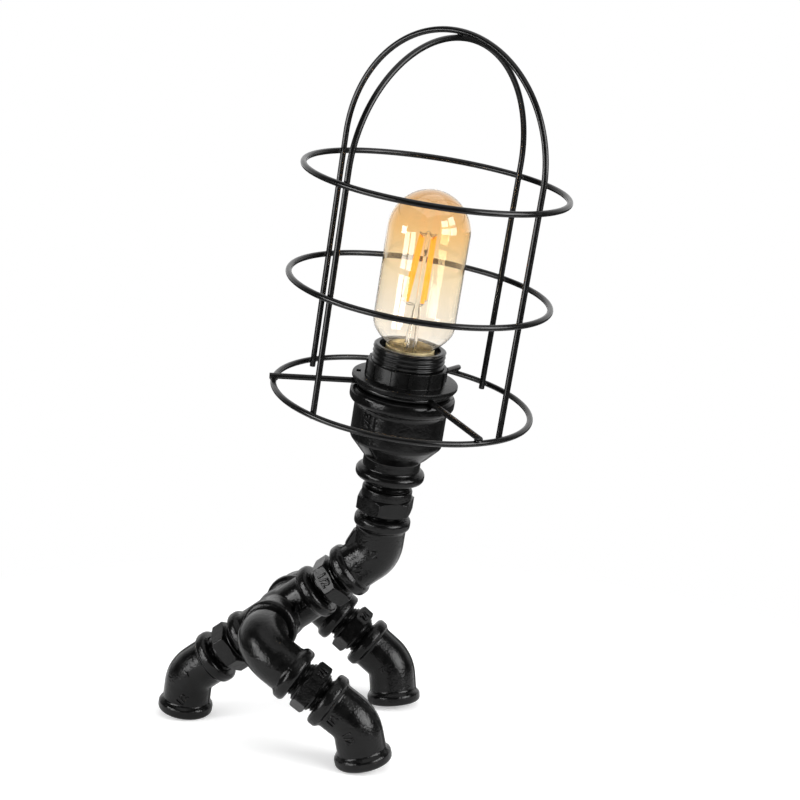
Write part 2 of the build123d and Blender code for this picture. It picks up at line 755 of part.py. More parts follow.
def glass_stem():
    """Flared glass stem with the rod that carries the filaments."""
    flare_top = GLASS_FOOT + STEM_FLARE_HEIGHT
    neck = GLASS_NECK_R - GLASS_WALL - SNUG
    return spun(
        [
            (0, GLASS_FOOT),
            (neck, GLASS_FOOT),
            (neck, GLASS_FOOT + GLASS_WALL),
            (STEM_R, flare_top),
            (STEM_R, STEM_TOP),
            (STEM_ROD_R, STEM_TOP + STEM_R),
            (STEM_ROD_R, STEM_ROD_TOP),
            (0, STEM_ROD_TOP),
        ]
    )


def filament_ends(index):
    """Lower and upper end of one filament's centre line."""
    azimuth = radians(FILAMENT_AZIMUTH + index * 360 / FILAMENT_COUNT)
    low = (FILAMENT_LOW_RADIUS * cos(azimuth), FILAMENT_LOW_RADIUS * sin(azimuth), FILAMENT_LOW)
    high = (FILAMENT_HIGH_RADIUS * cos(azimuth), FILAMENT_HIGH_RADIUS * sin(azimuth), FILAMENT_HIGH)
    return low, high


def filament(index):
    """One straight LED strip."""
    low, high = filament_ends(index)
    return along(Location(), low, high, FILAMENT_R)


def lead_wires():
    """Wires from the stem to the lower and upper end of every filament."""
    wires = None
    for index in range(FILAMENT_COUNT):
        low, high = filament_ends(index)
        foot = Vector(low[0], low[1], low[2] - LEAD_R)
        root = Vector(low[0] * LEAD_ROOT, low[1] * LEAD_ROOT, STEM_TOP + STEM_R / 2)
        head = Vector(high[0], high[1], high[2] + LEAD_R)
        hook = Vector(high[0] * LEAD_HOOK, high[1] * LEAD_HOOK, STEM_ROD_TOP - LEAD_R * 2)
        pair = along(Location(), root, foot, LEAD_R) + along(Location(), hook, head, LEAD_R)
        wires = pair if wires is None else wires + pair
    return wires - glass_stem()


def bulb_cap():
    """E27 metal cap: thread cylinder and cone, open at both ends."""
    inner = CAP_R - CAP_METAL
    return spun(
        [
            (inner, CAP_RIM),
            (CAP_R, CAP_RIM),
            (CAP_R, CAP_THREAD_END),
            (CAP_CONE_R, CAP_CONE_END),
            (CAP_CONE_R - CAP_METAL, CAP_CONE_END),
            (inner, CAP_THREAD_END + CAP_METAL),
        ]
    )


def tip_low():
    return CAP_CONE_END - INSULATOR_HEIGHT - TIP_HEIGHT


def cap_insulator():
    """Dark glass ring between the cap and the tip."""
    return spun(
        [
            (0, CAP_CONE_END),
            (CAP_CONE_R, CAP_CONE_END),
            (INSULATOR_R, CAP_CONE_END - INSULATOR_HEIGHT),
            (0, CAP_CONE_END - INSULATOR_HEIGHT),
        ]
    )


def contact_tip():
    """Solder button under the insulator."""
    return rod(INSULATOR_R, tip_low(), tip_low() + TIP_HEIGHT)


# ---------------------------------------------------------------------------
# Assembly
# ---------------------------------------------------------------------------


def base_pieces():
    """Cross, legs and neck nipple, in the frame of the cross."""
    open_bore = threaded_bore(HALF_INCH_TAPPED_R, THREAD_DEPTH)
    pieces = {
        "cross_fitting": cross_fitting(),
        "rear_leg_nipple": REAR["nipple"] * Rot(Z=REAR_HEX_TURN) * hex_nipple(),
        "rear_foot_elbow": REAR["elbow"] * elbow(open_bore),
        "neck_nipple": NECK["nipple"] * Rot(Z=NECK_HEX_TURN) * hex_nipple(),
    }
    for name, leg, hex_turn in [("near", NEAR, NEAR_HEX_TURN), ("far", FAR, FAR_HEX_TURN)]:
        pieces[name + "_street_elbow"] = leg["street"] * street_elbow()
        pieces[name + "_leg_nipple"] = leg["nipple"] * Rot(Z=hex_turn) * hex_nipple()
        pieces[name + "_foot_elbow"] = leg["elbow"] * elbow(open_bore)
    return pieces


def head_pieces():
    """Everything above the neck elbow, in the head frame."""
    heights = carrier_heights()
    pieces = {
        "reducing_nipple": reducing_nipple(),
        "reducing_socket": reducing_socket(),
        "tie_tube": tie_tube(),
        "tie_washer_lower": tie_washer(LOWER_WASHER_R, heights["lower_washer"]),
        "tie_nut_lower": tie_nut(heights["lower_nut"]),
        "tie_washer_upper": tie_washer(UPPER_WASHER_R, heights["upper_washer"]),
        "tie_nut_upper": tie_nut(heights["upper_nut"]),
        "holder_cap": holder_cap(),
        "holder_skirt": holder_skirt(),
        "terminal_block": terminal_block(),
        "screw_shell": screw_shell(),
        "centre_contact": centre_contact(),
        "terminal_screw_live": terminal_screw(-1),
        "terminal_screw_neutral": terminal_screw(1),
        "shade_ring": shade_ring(),
        "cage_hub_ring": wire_ring(HUB_RING_R, CAGE_CLEARANCE + WIRE_R),
        "cage_bottom_ring": wire_ring(CAGE_RING_R, BOTTOM_RING_HEIGHT),
        "cage_middle_ring": wire_ring(CAGE_RING_R, MIDDLE_RING_HEIGHT),
        "cage_top_ring": wire_ring(CAGE_RING_R, TOP_RING_HEIGHT),
        "cage_upper_hoop": hoop(UPPER_HOOP_AZIMUTH, 0),
        "cage_lower_hoop": hoop(LOWER_HOOP_AZIMUTH, 2 * WIRE_R + WELD_GAP),
        "bulb_glass": glass_envelope(),
        "bulb_stem": glass_stem(),
        "bulb_lead_wires": lead_wires(),
        "bulb_cap": bulb_cap(),
        "bulb_cap_insulator": cap_insulator(),
        "bulb_contact_tip": contact_tip(),
    }
    for index in range(SPOKE_COUNT):
        pieces[f"cage_spoke_{index + 1}"] = spoke(index)
    for index in range(FILAMENT_COUNT):
        pieces[f"bulb_filament_{index + 1}"] = filament(index)
    return pieces


def standing_lamp():
    """Every piece on the table, with the origin under the middle of the lamp."""
    pieces = base_pieces()
    pieces["neck_elbow"] = NECK["elbow"] * elbow(filled_bore(REDUCING_HALF_ENGAGED))
    for name, piece in head_pieces().items():
        pieces[name] = NECK["head"] * piece
    pieces = {name: STAND * piece for name, piece in pieces.items()}
    box = Compound(children=[Compound(piece.wrapped) for piece in pieces.values()]).bounding_box()
    middle = Pos(-box.center().X, -box.center().Y, -box.min.Z)
    return {name: middle * piece for name, piece in pieces.items()}, middle


LAMP, CENTRING = standing_lamp()
for node, piece in LAMP.items():
    export_step(piece, f"parts/{node}.step")
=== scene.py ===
"""Looks of the industrial pipe table lamp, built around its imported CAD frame.

Shapes are drawn in millimetres in the local frame of each fitting and placed in the row frame in metres.
"""

import json
import math
from math import cos, pi, radians, sin, sqrt, tan

import bmesh
import bpy
from mathutils import Matrix, Vector
from mathutils.bvhtree import BVHTree


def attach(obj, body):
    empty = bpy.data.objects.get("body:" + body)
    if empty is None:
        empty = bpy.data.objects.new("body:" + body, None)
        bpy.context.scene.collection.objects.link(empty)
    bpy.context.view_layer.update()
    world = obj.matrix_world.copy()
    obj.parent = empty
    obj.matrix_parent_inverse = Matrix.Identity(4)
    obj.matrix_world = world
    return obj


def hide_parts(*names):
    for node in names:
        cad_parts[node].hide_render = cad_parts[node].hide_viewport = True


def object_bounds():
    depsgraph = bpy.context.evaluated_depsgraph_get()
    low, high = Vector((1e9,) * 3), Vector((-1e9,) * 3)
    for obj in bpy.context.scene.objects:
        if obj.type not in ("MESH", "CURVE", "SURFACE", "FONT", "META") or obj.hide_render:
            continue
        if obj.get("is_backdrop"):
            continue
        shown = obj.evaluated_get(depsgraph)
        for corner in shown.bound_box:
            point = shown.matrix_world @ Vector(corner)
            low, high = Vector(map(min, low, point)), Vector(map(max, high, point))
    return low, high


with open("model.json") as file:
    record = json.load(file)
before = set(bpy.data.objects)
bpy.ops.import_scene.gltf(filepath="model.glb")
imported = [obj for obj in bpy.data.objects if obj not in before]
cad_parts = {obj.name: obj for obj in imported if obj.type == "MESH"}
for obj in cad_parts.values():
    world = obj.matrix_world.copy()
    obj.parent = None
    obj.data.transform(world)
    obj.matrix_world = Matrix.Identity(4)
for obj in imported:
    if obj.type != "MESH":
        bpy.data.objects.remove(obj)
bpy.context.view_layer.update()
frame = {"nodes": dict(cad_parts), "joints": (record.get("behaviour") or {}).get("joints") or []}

MM = 0.001

# ---- Sizes in millimetres and degrees, mostly those of the CAD model ----

HALF_INCH_R = 20.955 / 2
THREE_QUARTER_R = 26.441 / 2
HALF_INCH_TAPPED_R = 18.631 / 2
PIPE_PITCH = 1.814
PIPE_THREAD_DEPTH = 1.0
THREAD_GAP = 0.03
THREAD_DEPTH = 14.5
THREAD_STEP = PIPE_PITCH / 8
THREAD_END = 0.8
THREAD_CHAMFER = 1.0
MOUTH_CHAMFER = 0.9

BODY_R = 13.3
BEAD_R = 15.6
BEAD_LENGTH = 5.6
BEAD_ROUND = 2.5
BEAD_SLOPE = 1.9
BEAD_BLEND = 2.0
PASSAGE_R = 9.0
BEND_R = 16.0
SEAM_HEIGHT = 0.5
SEAM_WIDTH = 2.4
SEAM_FLANK = 0.6
SEAM_END = 1.5
SEAM_START = 0.4
CROSS_REACH = 28.5
CROTCH_R = 14.6
CROTCH_END = 19.5
CROTCH_FADE = 2.0
VOXEL = 0.42
SOFTENING = (0.6, 14)
LEAST_SOFTENING = 0.12
ELBOW_REACH = 22.75
STREET_FEMALE_REACH = 29.5
STREET_MALE_REACH = 37.0
STREET_THREAD = 15.0
STREET_TAPER = 2.0
STREET_STRAIGHT = 3.0
STREET_ENGAGED = 10.8
HALF_TURN = 45.0

NIPPLE_LENGTH = 44.0
NIPPLE_GAP = 16.4
NIPPLE_HEX = 26.0
NIPPLE_HEX_LENGTH = 8.4
NIPPLE_COLLAR_R = 11.5
NIPPLE_COLLAR_LENGTH = 1.4
NIPPLE_COLLAR_CHAMFER = 0.4
NIPPLE_BORE_R = 7.8
HEX_CHAMFER = 1.0
HEX_CORNER = 0.7

REDUCING_HALF_ENGAGED = 13.5
REDUCING_UNDERCUT = 0.6
REDUCING_LOWER_NECK = 3.1
REDUCING_HEX = 29.0
REDUCING_HEX_LENGTH = 8.5
REDUCING_SHOULDER_R = 13.9
REDUCING_SHOULDER = 5.2
REDUCING_ROUND = 3.0
REDUCING_UPPER_NECK = 5.2
REDUCING_LARGE_ENGAGED = 14.5
REDUCING_GAP = REDUCING_LOWER_NECK + REDUCING_HEX_LENGTH + REDUCING_SHOULDER + REDUCING_UPPER_NECK

SOCKET_LENGTH = 51.2
SOCKET_BORE_R = 20.1
SOCKET_BORE_DEPTH = 27.0
SOCKET_BODY_R = 25.2
SOCKET_BODY_END = 28.5
SOCKET_NECK_R = 15.8
SOCKET_NECK_START = 39.0
SOCKET_NECK_BLEND = 1.2
SOCKET_TOP_BEAD_R = 28.6
SOCKET_TOP_BEAD = 6.8
SOCKET_SLOPE = 2.6
SOCKET_ROUND = 3.0
SOCKET_LOW_BEAD_R = 19.0
SOCKET_LOW_BEAD = 5.2
SOCKET_LOW_SLOPE = 1.3
SOCKET_BLEND = 3.5
SOCKET_RIB = 0.6
SOCKET_RIB_WIDTH = 6.0
SOCKET_RIB_AZIMUTH = -13.0
SOCKET_PAD = 0.5
SOCKET_PAD_WIDTH = 9.4
SOCKET_PAD_AZIMUTH = -126.0
SOCKET_FLANK = 0.8

NEAR_LEG_ANGLE = 71.3
FAR_LEG_ANGLE = 75.6
REAR_FOOT_TWIST = 4.2
NEAR_FOOT_TWIST = 4.6
FAR_FOOT_TWIST = -9.1
NECK_TWIST = 7.7
HEX_TURN = {"rear": -3.0, "neck": -20.0, "near": -16.0, "far": -8.0, "reducing": 26.0}

SKIRT_R = 19.7
SKIRT_TOP = 24.4
SKIRT_JOINT = -12.0
SKIRT_PITCH = 2.5
SKIRT_THREAD_DEPTH = 0.85
SKIRT_THREAD_LOW = -8.0
MOUTH_R = 16.6
MOUTH_DEPTH = 3.4
SHELL_R = 13.27
SHELL_WALL = 0.45
BLOCK_R = 17.0
SHELL_FLOOR = 0.5

RING_GAP = 0.06
FLANGE_R = 28.8
FLANGE_THICKNESS = 3.0
FLANGE_STEP = 0.6
COLLAR_R = 21.6
COLLAR_HEIGHT = 8.6
GRIP_COUNT = 12
GRIP_STEP = 360 / GRIP_COUNT
GRIP_WIDTH = 1.3
GRIP_HEIGHT = 0.7
GRIP_AZIMUTH = 12.0
SLOT_AZIMUTH = -176.0
SLOT_PLACE_R = 25.4
SLOT_LENGTH = 4.4
SLOT_WIDTH = 2.4
SLOT_DEPTH = 1.2

WIRE_R = 1.6
HUB_RING_R = 24.3
CAGE_RING_R = 70.0
BOTTOM_RING_HEIGHT = -5.0
MIDDLE_RING_HEIGHT = 56.8
TOP_RING_HEIGHT = 115.0
HOOP_STRAIGHT = 10.4
HOOP_TAIL = 2.2
SPOKE_TAIL = 2.0
SPOKE_COUNT = 3
SPOKE_AZIMUTH = 190.0
UPPER_HOOP_AZIMUTH = -34.0
LOWER_HOOP_AZIMUTH = 53.0
CAGE_CLEARANCE = 0.2
WELD_GAP = 0.02

BULB_R = 22.0
BULB_TOP = 110.0
GLASS_WALL = 0.6
GLASS_NECK_R = 12.6
GLASS_FOOT = 16.0
GLASS_SHOULDER = 38.0
GLASS_SLOPE = 0.7071
CAP_R = 13.2
CAP_METAL = 0.4
CAP_RIM = 24.5
CAP_THREAD_TOP = CAP_RIM - 2.0
CAP_THREAD_END = 5.0
CAP_STEP = 0.3
CAP_CONE_R = 8.6
CAP_CONE_END = 1.0
CAP_PITCH = 3.629
CAP_THREAD_DEPTH = 0.9
STEM_FLARE_HEIGHT = 10.0
STEM_R = 3.4
STEM_TOP = 46.0
STEM_ROD_R = 1.0
STEM_ROD_TOP = 88.0
FILAMENT_COUNT = 4
FILAMENT_R = 1.1
FILAMENT_LOW = 50.5
FILAMENT_HIGH = 84.5
FILAMENT_LOW_RADIUS = 6.4
FILAMENT_HIGH_RADIUS = 4.3
FILAMENT_LEAN = Vector((-1.6, -0.3, 0.0))
FILAMENT_AZIMUTHS = (39.6, 152.6, 234.6, 313.6)
THIN_LEAD_R = 0.22
STEM_WALL = 0.8

MARK_RISE = 0.8
MARK_ROUND = 0.38
MARK_WEIGHT = 0.012
LUG = (11.0, 7.0, 3.4)
LUG_ROUND = 1.3
LUG_ROOT = 0.8
WELD = (2.3, 1.15)
HUB_WELD = (2.0, 1.3)
OUT = (1, 0, 0)
ROUND = (0, 1, 0)

SEGMENTS = 144
LINE_STEP = 1.0
MERGE = 0.0001
HALF_RUN = 0.49
FULL_RUN = 0.98

# ---- Directions and places ----


def turned(vector, axis, degrees):
    return Matrix.Rotation(radians(degrees), 3, axis) @ vector


JOINT = {joint["name"]: joint for joint in frame["joints"]}
CROSS = Vector(JOINT["neck_swivel"]["pos_m"])
MAIN = Vector(JOINT["neck_swivel"]["axis"]).normalized()
HEAD = Vector(JOINT["ring_turn"]["pos_m"])
LAMP = Vector(JOINT["ring_turn"]["axis"]).normalized()
NECK_UP = ((LAMP - MAIN * cos(radians(HALF_TURN))) / sin(radians(HALF_TURN))).normalized()
NORMAL = turned(NECK_UP, MAIN, -NECK_TWIST)
SIDE = NORMAL.cross(MAIN)


def place(origin, x_dir, z_dir):
    """Matrix from a local frame in millimetres to the row frame in metres."""
    z_dir = z_dir.normalized()
    x_dir = (x_dir - z_dir * x_dir.dot(z_dir)).normalized()
    turn = Matrix((x_dir, z_dir.cross(x_dir), z_dir)).transposed().to_4x4()
    return Matrix.Translation(origin) @ turn @ Matrix.Scale(MM, 4)


def spin(degrees):
    return Matrix.Rotation(radians(degrees), 4, "Z")


def leg_places(side, leg_angle, foot_twist):
    corner = SIDE * side * (CROSS_REACH + STREET_MALE_REACH - STREET_ENGAGED)
    down = MAIN * cos(radians(leg_angle)) - NORMAL * sin(radians(leg_angle))
    up = turned(MAIN * sin(radians(leg_angle)) + NORMAL * cos(radians(leg_angle)), down, foot_twist)
    knee = corner + down * STREET_FEMALE_REACH
    ankle = knee + down * (NIPPLE_GAP + ELBOW_REACH)
    return {
        "street": place(CROSS + corner * MM, SIDE * -side, down * -1),
        "nipple": place(CROSS + (knee + down * (NIPPLE_GAP / 2)) * MM, up, down),
        "elbow": place(CROSS + ankle * MM, down * -1, up),
    }


ACROSS = (MAIN - LAMP * MAIN.dot(LAMP)).normalized()
HEAD_PLACE = place(HEAD, ACROSS, LAMP)
REAR = {
    "nipple": place(CROSS - MAIN * (CROSS_REACH + NIPPLE_GAP / 2) * MM, NORMAL, MAIN),
    "elbow": place(
        CROSS - MAIN * (CROSS_REACH + NIPPLE_GAP + ELBOW_REACH) * MM, MAIN, turned(NORMAL, MAIN, REAR_FOOT_TWIST)
    ),
}
NEAR = leg_places(-1, NEAR_LEG_ANGLE, NEAR_FOOT_TWIST)
FAR = leg_places(1, FAR_LEG_ANGLE, FAR_FOOT_TWIST)
NECK = {
    "nipple": place(CROSS + MAIN * (CROSS_REACH + NIPPLE_GAP / 2) * MM, NORMAL, MAIN),
    "elbow": place(CROSS + MAIN * (CROSS_REACH + NIPPLE_GAP + ELBOW_REACH) * MM, MAIN * -1, NECK_UP * -1),
}

# ---- Mesh helpers ----


def even_angles(count=SEGMENTS):
    return [2 * pi * index / count for index in range(count)]


def arc_corner(before, corner, after, radius, steps):
    """Points of a rounded corner; it takes at most half of a run that is rounded at both ends."""
    spot = Vector(corner[:2])
    to_before = Vector(before[:2]) - spot
    to_after = Vector(after[:2]) - spot
    half = to_before.angle(to_after) / 2
    reach = radius / tan(half)
    for way, end in ((to_before, before), (to_after, after)):
        reach = min(reach, way.length * (HALF_RUN if len(end) > 2 else FULL_RUN))
    to_before.normalize()
    to_after.normalize()
    centre = spot + (to_before + to_after).normalized() * (reach / cos(half))
    first = spot + to_before * reach - centre
    angle = first.angle_signed(spot + to_after * reach - centre)
    return [centre + Matrix.Rotation(-angle * step / steps, 2) @ first for step in range(steps + 1)]


def outline(points, closed=False, steps=6):
    """Outline from (radius, height) or (radius, height, rounding) points."""
    count = len(points)
    result = []
    for index, point in enumerate(points):
        inner = closed or 0 < index < count - 1
        if len(point) > 2 and inner:
            after = points[(index + 1) % count]
            result += [tuple(p) for p in arc_corner(points[index - 1], point, after, point[2], steps)]
        else:
            result.append(tuple(point[:2]))
    return result


def skin(rings, loop=True):
    """Mesh from rings of equal length; loop joins the last ring to the first."""
    count = len(rings[0])
    verts = [tuple(p) for ring in rings for p in ring]
    faces = []
    rows = len(rings) if loop else len(rings) - 1
    for row in range(rows):
        low = row * count
        high = ((row + 1) % len(rings)) * count
        for col in range(count):
            side = (col + 1) % count
            faces.append((low + col, low + side, high + side, high + col))
    if not loop:
        faces.append(tuple(reversed(range(count))))
        faces.append(tuple(range((len(rings) - 1) * count, len(rings) * count)))
    mesh = bpy.data.meshes.new("mesh")
    mesh.from_pydata(verts, [], faces)
    return tidy_mesh(mesh)


def tidy_mesh(mesh):
    """Merge doubles, drop slivers and point the faces outwards."""
    work = bmesh.new()
    work.from_mesh(mesh)
    bmesh.ops.remove_doubles(work, verts=work.verts, dist=MERGE)
    bmesh.ops.dissolve_degenerate(work, edges=work.edges, dist=MERGE)
    bmesh.ops.recalc_face_normals(work, faces=work.faces)
    work.to_mesh(mesh)
    work.free()
    return mesh


def same_radius(radius, height, angle):
    return radius


def lathe(section, angles, radius_of=same_radius):
    """Solid of revolution about Z from a closed outline; the rule changes the radius round it."""
    rings = []
    for radius, height in section:
        radii = [radius_of(radius, height, angle) for angle in angles]
        rings.append([(r * cos(angle), r * sin(angle), height) for r, angle in zip(radii, angles)])
    return skin(rings)


def clamped(*values):
    """The least of the values, kept between 0 and 1."""
    return max(0.0, min(1.0, *values))


def thread_wave(phase):
    """Height of a rounded V thread, 0 at the root and 1 at the crest."""
    phase = phase % 1.0
    ramp = 1 - abs(2 * phase - 1)
    return ramp * ramp * (3 - 2 * ramp)


def threaded(low, high, pitch, depth, fade=1.2, inwards=False):
    """Radius rule for a helical right-hand thread between two heights."""

    def radius_of(radius, height, angle):
        if not low <= height <= high:
            return radius
        share = clamped(min(height - low, high - height) / fade)
        cut = depth * share * (1 - thread_wave(height / pitch - angle / (2 * pi)))
        return radius + cut if inwards else radius - cut

    return radius_of


def steps_between(low, high, step):
    count = max(1, int(round(abs(high - low) / step)))
    return [low + (high - low) * index / count for index in range(count + 1)]


def wall(radius, low, high, step):
    """Outline points along a straight wall."""
    return [(radius, height) for height in steps_between(low, high, step)]


def linked(name, data):
    """New object in the scene."""
    obj = bpy.data.objects.new(name, data)
    bpy.context.scene.collection.objects.link(obj)
    return obj


def mesh_from(work):
    """Mesh of a finished bmesh."""
    mesh = bpy.data.meshes.new("mesh")
    work.to_mesh(mesh)
    work.free()
    return mesh


def piece(name, mesh, location, material, body, replaced, sharp=32.0):
    """Places a local mesh in the row frame, as an object that rides a body and stands for its CAD node."""
    mesh.transform(location)
    mesh.update()
    for polygon in mesh.polygons:
        polygon.use_smooth = True
    mesh.set_sharp_from_angle(angle=radians(sharp))
    mesh.name = name
    mesh.materials.clear()
    mesh.materials.append(material)
    obj = linked(name, mesh)
    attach(obj, body)
    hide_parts(replaced)


def joined(mesh, *marks):
    """Adds raised marks to the mesh of a fitting."""
    work = bmesh.new()
    for part in (mesh, *marks):
        work.from_mesh(part)
    work.to_mesh(mesh)
    work.free()
    return mesh


def evaluated_mesh(obj):
    depsgraph = bpy.context.evaluated_depsgraph_get()
    depsgraph.update()
    return bpy.data.meshes.new_from_object(obj.evaluated_get(depsgraph), depsgraph=depsgraph)


# ---- Fittings ----


def tangent_length(degrees):
    return BEND_R * tan(radians(degrees / 2))


def bend_station(travel, first, degrees):
    """Point, outward normal and travel direction on an elbow's centre line."""
    reach = tangent_length(degrees)
    run = first - reach
    sweep = BEND_R * radians(degrees)
    if travel <= run:
        return Vector((first - travel, 0, 0)), Vector((0, 0, 1))
    if travel <= run + sweep:
        angle = (travel - run) / BEND_R
        normal = Vector((-sin(angle), 0, cos(angle)))
        return Vector((reach, 0, -BEND_R)) + normal * BEND_R, normal
    angle = radians(degrees)
    normal = Vector((-sin(angle), 0, cos(angle)))
    way = Vector((-cos(angle), 0, -sin(angle)))
    return way * (reach + travel - run - sweep), normal


def bend_length(first, second, degrees):
    return first + second - 2 * tangent_length(degrees) + BEND_R * radians(degrees)


def bent_mesh(reach, degrees, *sections):
    """Skin round an elbow's centre line; a section is (radius, travel) rows and the rule for their radius."""
    rings = []
    for rows, radius_of in sections:
        for radius, travel in rows:
            centre, normal = bend_station(travel, reach, degrees)
            ring = []
            for angle in even_angles():
                r = radius_of(radius, travel, angle)
                ring.append(centre + normal * (r * cos(angle)) + Vector((0, 1, 0)) * (r * sin(angle)))
            rings.append(ring)
    return skin(rings)


def from_end(rows, total):
    """Rows by their depth from the second port, turned into rows by travel."""
    return [(radius, total - depth) for radius, depth in reversed(rows)]


def seam(low, high):
    """Radius rule for the casting seam on both sides of the plane of the bend."""

    def radius_of(radius, travel, angle):
        if not low < travel < high:
            return radius
        off = abs(sin(angle)) * radius
        share = clamped((SEAM_WIDTH / 2 + SEAM_FLANK / 2 - off) / SEAM_FLANK)
        end = clamped((travel - low) / SEAM_END, (high - travel) / SEAM_END)
        return radius + SEAM_HEIGHT * share * end

    return radius_of


BEAD_OUTLINE = outline(
    [
        (HALF_INCH_R + 1.2, 0), (BEAD_R, 0, BEAD_ROUND), (BEAD_R, BEAD_LENGTH, BEAD_ROUND),
        (BODY_R, BEAD_LENGTH + BEAD_SLOPE, BEAD_BLEND), (BODY_R, BEAD_LENGTH + BEAD_SLOPE + 2.6),
    ],
    steps=8,
)
BEAD_END = BEAD_OUTLINE[-1][1]


def bore_rows(bore_r, thread):
    """Rows of a threaded bore from its depth to its mouth."""
    step = THREAD_STEP if thread else 3.0
    return wall(bore_r, THREAD_DEPTH, MOUTH_CHAMFER, step) + [(HALF_INCH_R + MOUTH_CHAMFER, 0.0)]


def elbow_mesh(bore_r, open_thread):
    """45-degree elbow; travel runs from the first port's face to the second's."""
    total = bend_length(ELBOW_REACH, ELBOW_REACH, HALF_TURN)
    bump = seam(BEAD_LENGTH + SEAM_START, total - BEAD_LENGTH - SEAM_START)
    cut = threaded(MOUTH_CHAMFER, THREAD_DEPTH, PIPE_PITCH, PIPE_THREAD_DEPTH, 1.0, inwards=True)
    rule = (lambda r, travel, angle: cut(r, total - travel, angle)) if open_thread else same_radius
    outside = BEAD_OUTLINE + wall(BODY_R, BEAD_END, total - BEAD_END, LINE_STEP)[1:-1] + from_end(BEAD_OUTLINE, total)
    bore = from_end(bore_rows(bore_r, open_thread), total)
    inside = wall(PASSAGE_R, total - THREAD_DEPTH, THREAD_DEPTH, LINE_STEP) + bore_rows(HALF_INCH_R + THREAD_GAP, False)
    return bent_mesh(ELBOW_REACH, HALF_TURN, (outside, bump), (bore, rule), (inside, same_radius))


def street_mesh():
    """90-degree street elbow: male thread first, female bead second."""
    total = bend_length(STREET_MALE_REACH, STREET_FEMALE_REACH, 90)
    cut = threaded(0.6, STREET_THREAD, PIPE_PITCH, PIPE_THREAD_DEPTH, 1.0)
    mouth = [(NIPPLE_BORE_R, 0), (HALF_INCH_R - THREAD_CHAMFER, 0)]
    thread = wall(HALF_INCH_R, THREAD_END, STREET_THREAD, THREAD_STEP)
    taper_end = STREET_THREAD + STREET_TAPER
    body_start = taper_end + STREET_STRAIGHT
    body = outline([(HALF_INCH_R, STREET_THREAD), (BODY_R, taper_end, 1.2), (BODY_R, body_start)])
    body += wall(BODY_R, body_start, total - BEAD_END, LINE_STEP)[1:-1]
    body += from_end(BEAD_OUTLINE, total) + from_end(bore_rows(HALF_INCH_R + THREAD_GAP, False), total)
    body += wall(NIPPLE_BORE_R, total - THREAD_DEPTH, 0.5, LINE_STEP)
    return bent_mesh(STREET_MALE_REACH, 90, (mouth, same_radius), (thread, cut), (body, same_radius))


def hex_angles():
    """Angles that resolve the six rounded corners and the flats between them."""
    offsets = [0, 0.7, 1.4, 2.1, 2.8, 3.6, 5, 8, 12, 16, 20, 25, 30]
    offsets = sorted(set(offsets + [60 - o for o in offsets if o]))
    return [radians(corner * 60 + offset) for corner in range(6) for offset in offsets if offset < 60]


def hex_radius(across_flats, angle, corner=HEX_CORNER):
    """Radius of a hexagon with rounded corners; a corner lies at angle 0."""
    off = (degrees_of(angle) + 30) % 60 - 30
    phi = radians(off)
    centre = (across_flats / 2 - corner) / cos(pi / 6)
    tangent = math.atan2(corner * 0.5, centre + corner * cos(pi / 6))
    if abs(phi) < tangent:
        return centre * cos(phi) + sqrt(max(0.0, corner**2 - (centre * sin(phi)) ** 2))
    return across_flats / 2 / cos(pi / 6 - abs(phi))


def degrees_of(angle):
    return angle * 180 / pi


def hex_rule(across_flats, low, high):
    """Radius rule for a chamfered hexagon between two heights."""
    corner_r = across_flats / 2 / cos(pi / 6)

    def radius_of(radius, height, angle):
        if not low - 1e-6 <= height <= high + 1e-6:
            return radius
        near_end = min(height - low, high - height)
        cone = corner_r - 2 * HEX_CHAMFER + near_end * 2
        return min(hex_radius(across_flats, angle), cone)

    return radius_of


def hex_heights(low, high):
    edge = [0, 0.12, 0.25, 0.4, 0.55, 0.7, 0.85, 1.0]
    return [low + e for e in edge] + [(low + high) / 2] + [high - e for e in reversed(edge)]


def hex_fitting(across_flats, hexagon, low, high, below, above, first_row=0.0):
    """Hexagon along Z with a male thread on each side.

    A thread is its radius, its end and its start; below and above are the outline points beside the hexagon.
    The upper thread's first row lies a little past its start, where the outline needs that.
    """
    low_r, low_end, low_start = low
    high_r, high_end, high_start = high
    middle = sum(hexagon) / 2
    hex_of = hex_rule(across_flats, *hexagon)
    low_thread = threaded(low_end, low_start, PIPE_PITCH, PIPE_THREAD_DEPTH, THREAD_END)
    high_thread = threaded(high_start, high_end, PIPE_PITCH, PIPE_THREAD_DEPTH, THREAD_END)

    def rule(radius, height, angle):
        if radius == across_flats:
            return hex_of(radius, height, angle)
        if radius == (low_r if height < middle else high_r):
            return (low_thread if height < middle else high_thread)(radius, height, angle)
        return radius

    section = [(NIPPLE_BORE_R, low_end), (low_r - THREAD_CHAMFER, low_end)]
    section += wall(low_r, low_end + THREAD_END, low_start, THREAD_STEP) + below
    section += [(across_flats, z) for z in hex_heights(*hexagon)] + above
    section += wall(high_r, high_start + first_row, high_end - THREAD_END, THREAD_STEP)
    section += [(high_r - THREAD_CHAMFER, high_end), (NIPPLE_BORE_R, high_end)]
    return lathe(section, hex_angles(), rule)


def nipple_mesh():
    """Half-inch hex nipple."""
    half = NIPPLE_LENGTH / 2
    hexagon = NIPPLE_HEX_LENGTH / 2
    collar = hexagon + NIPPLE_COLLAR_LENGTH
    edge = collar - NIPPLE_COLLAR_CHAMFER
    above = [(NIPPLE_COLLAR_R, hexagon), (NIPPLE_COLLAR_R, edge), (NIPPLE_COLLAR_R - NIPPLE_COLLAR_CHAMFER, collar)]
    below = [(r, -z) for r, z in reversed(above)]
    low, high = (HALF_INCH_R, -half, -collar), (HALF_INCH_R, half, collar)
    return hex_fitting(NIPPLE_HEX, (-hexagon, hexagon), low, high, below, above)


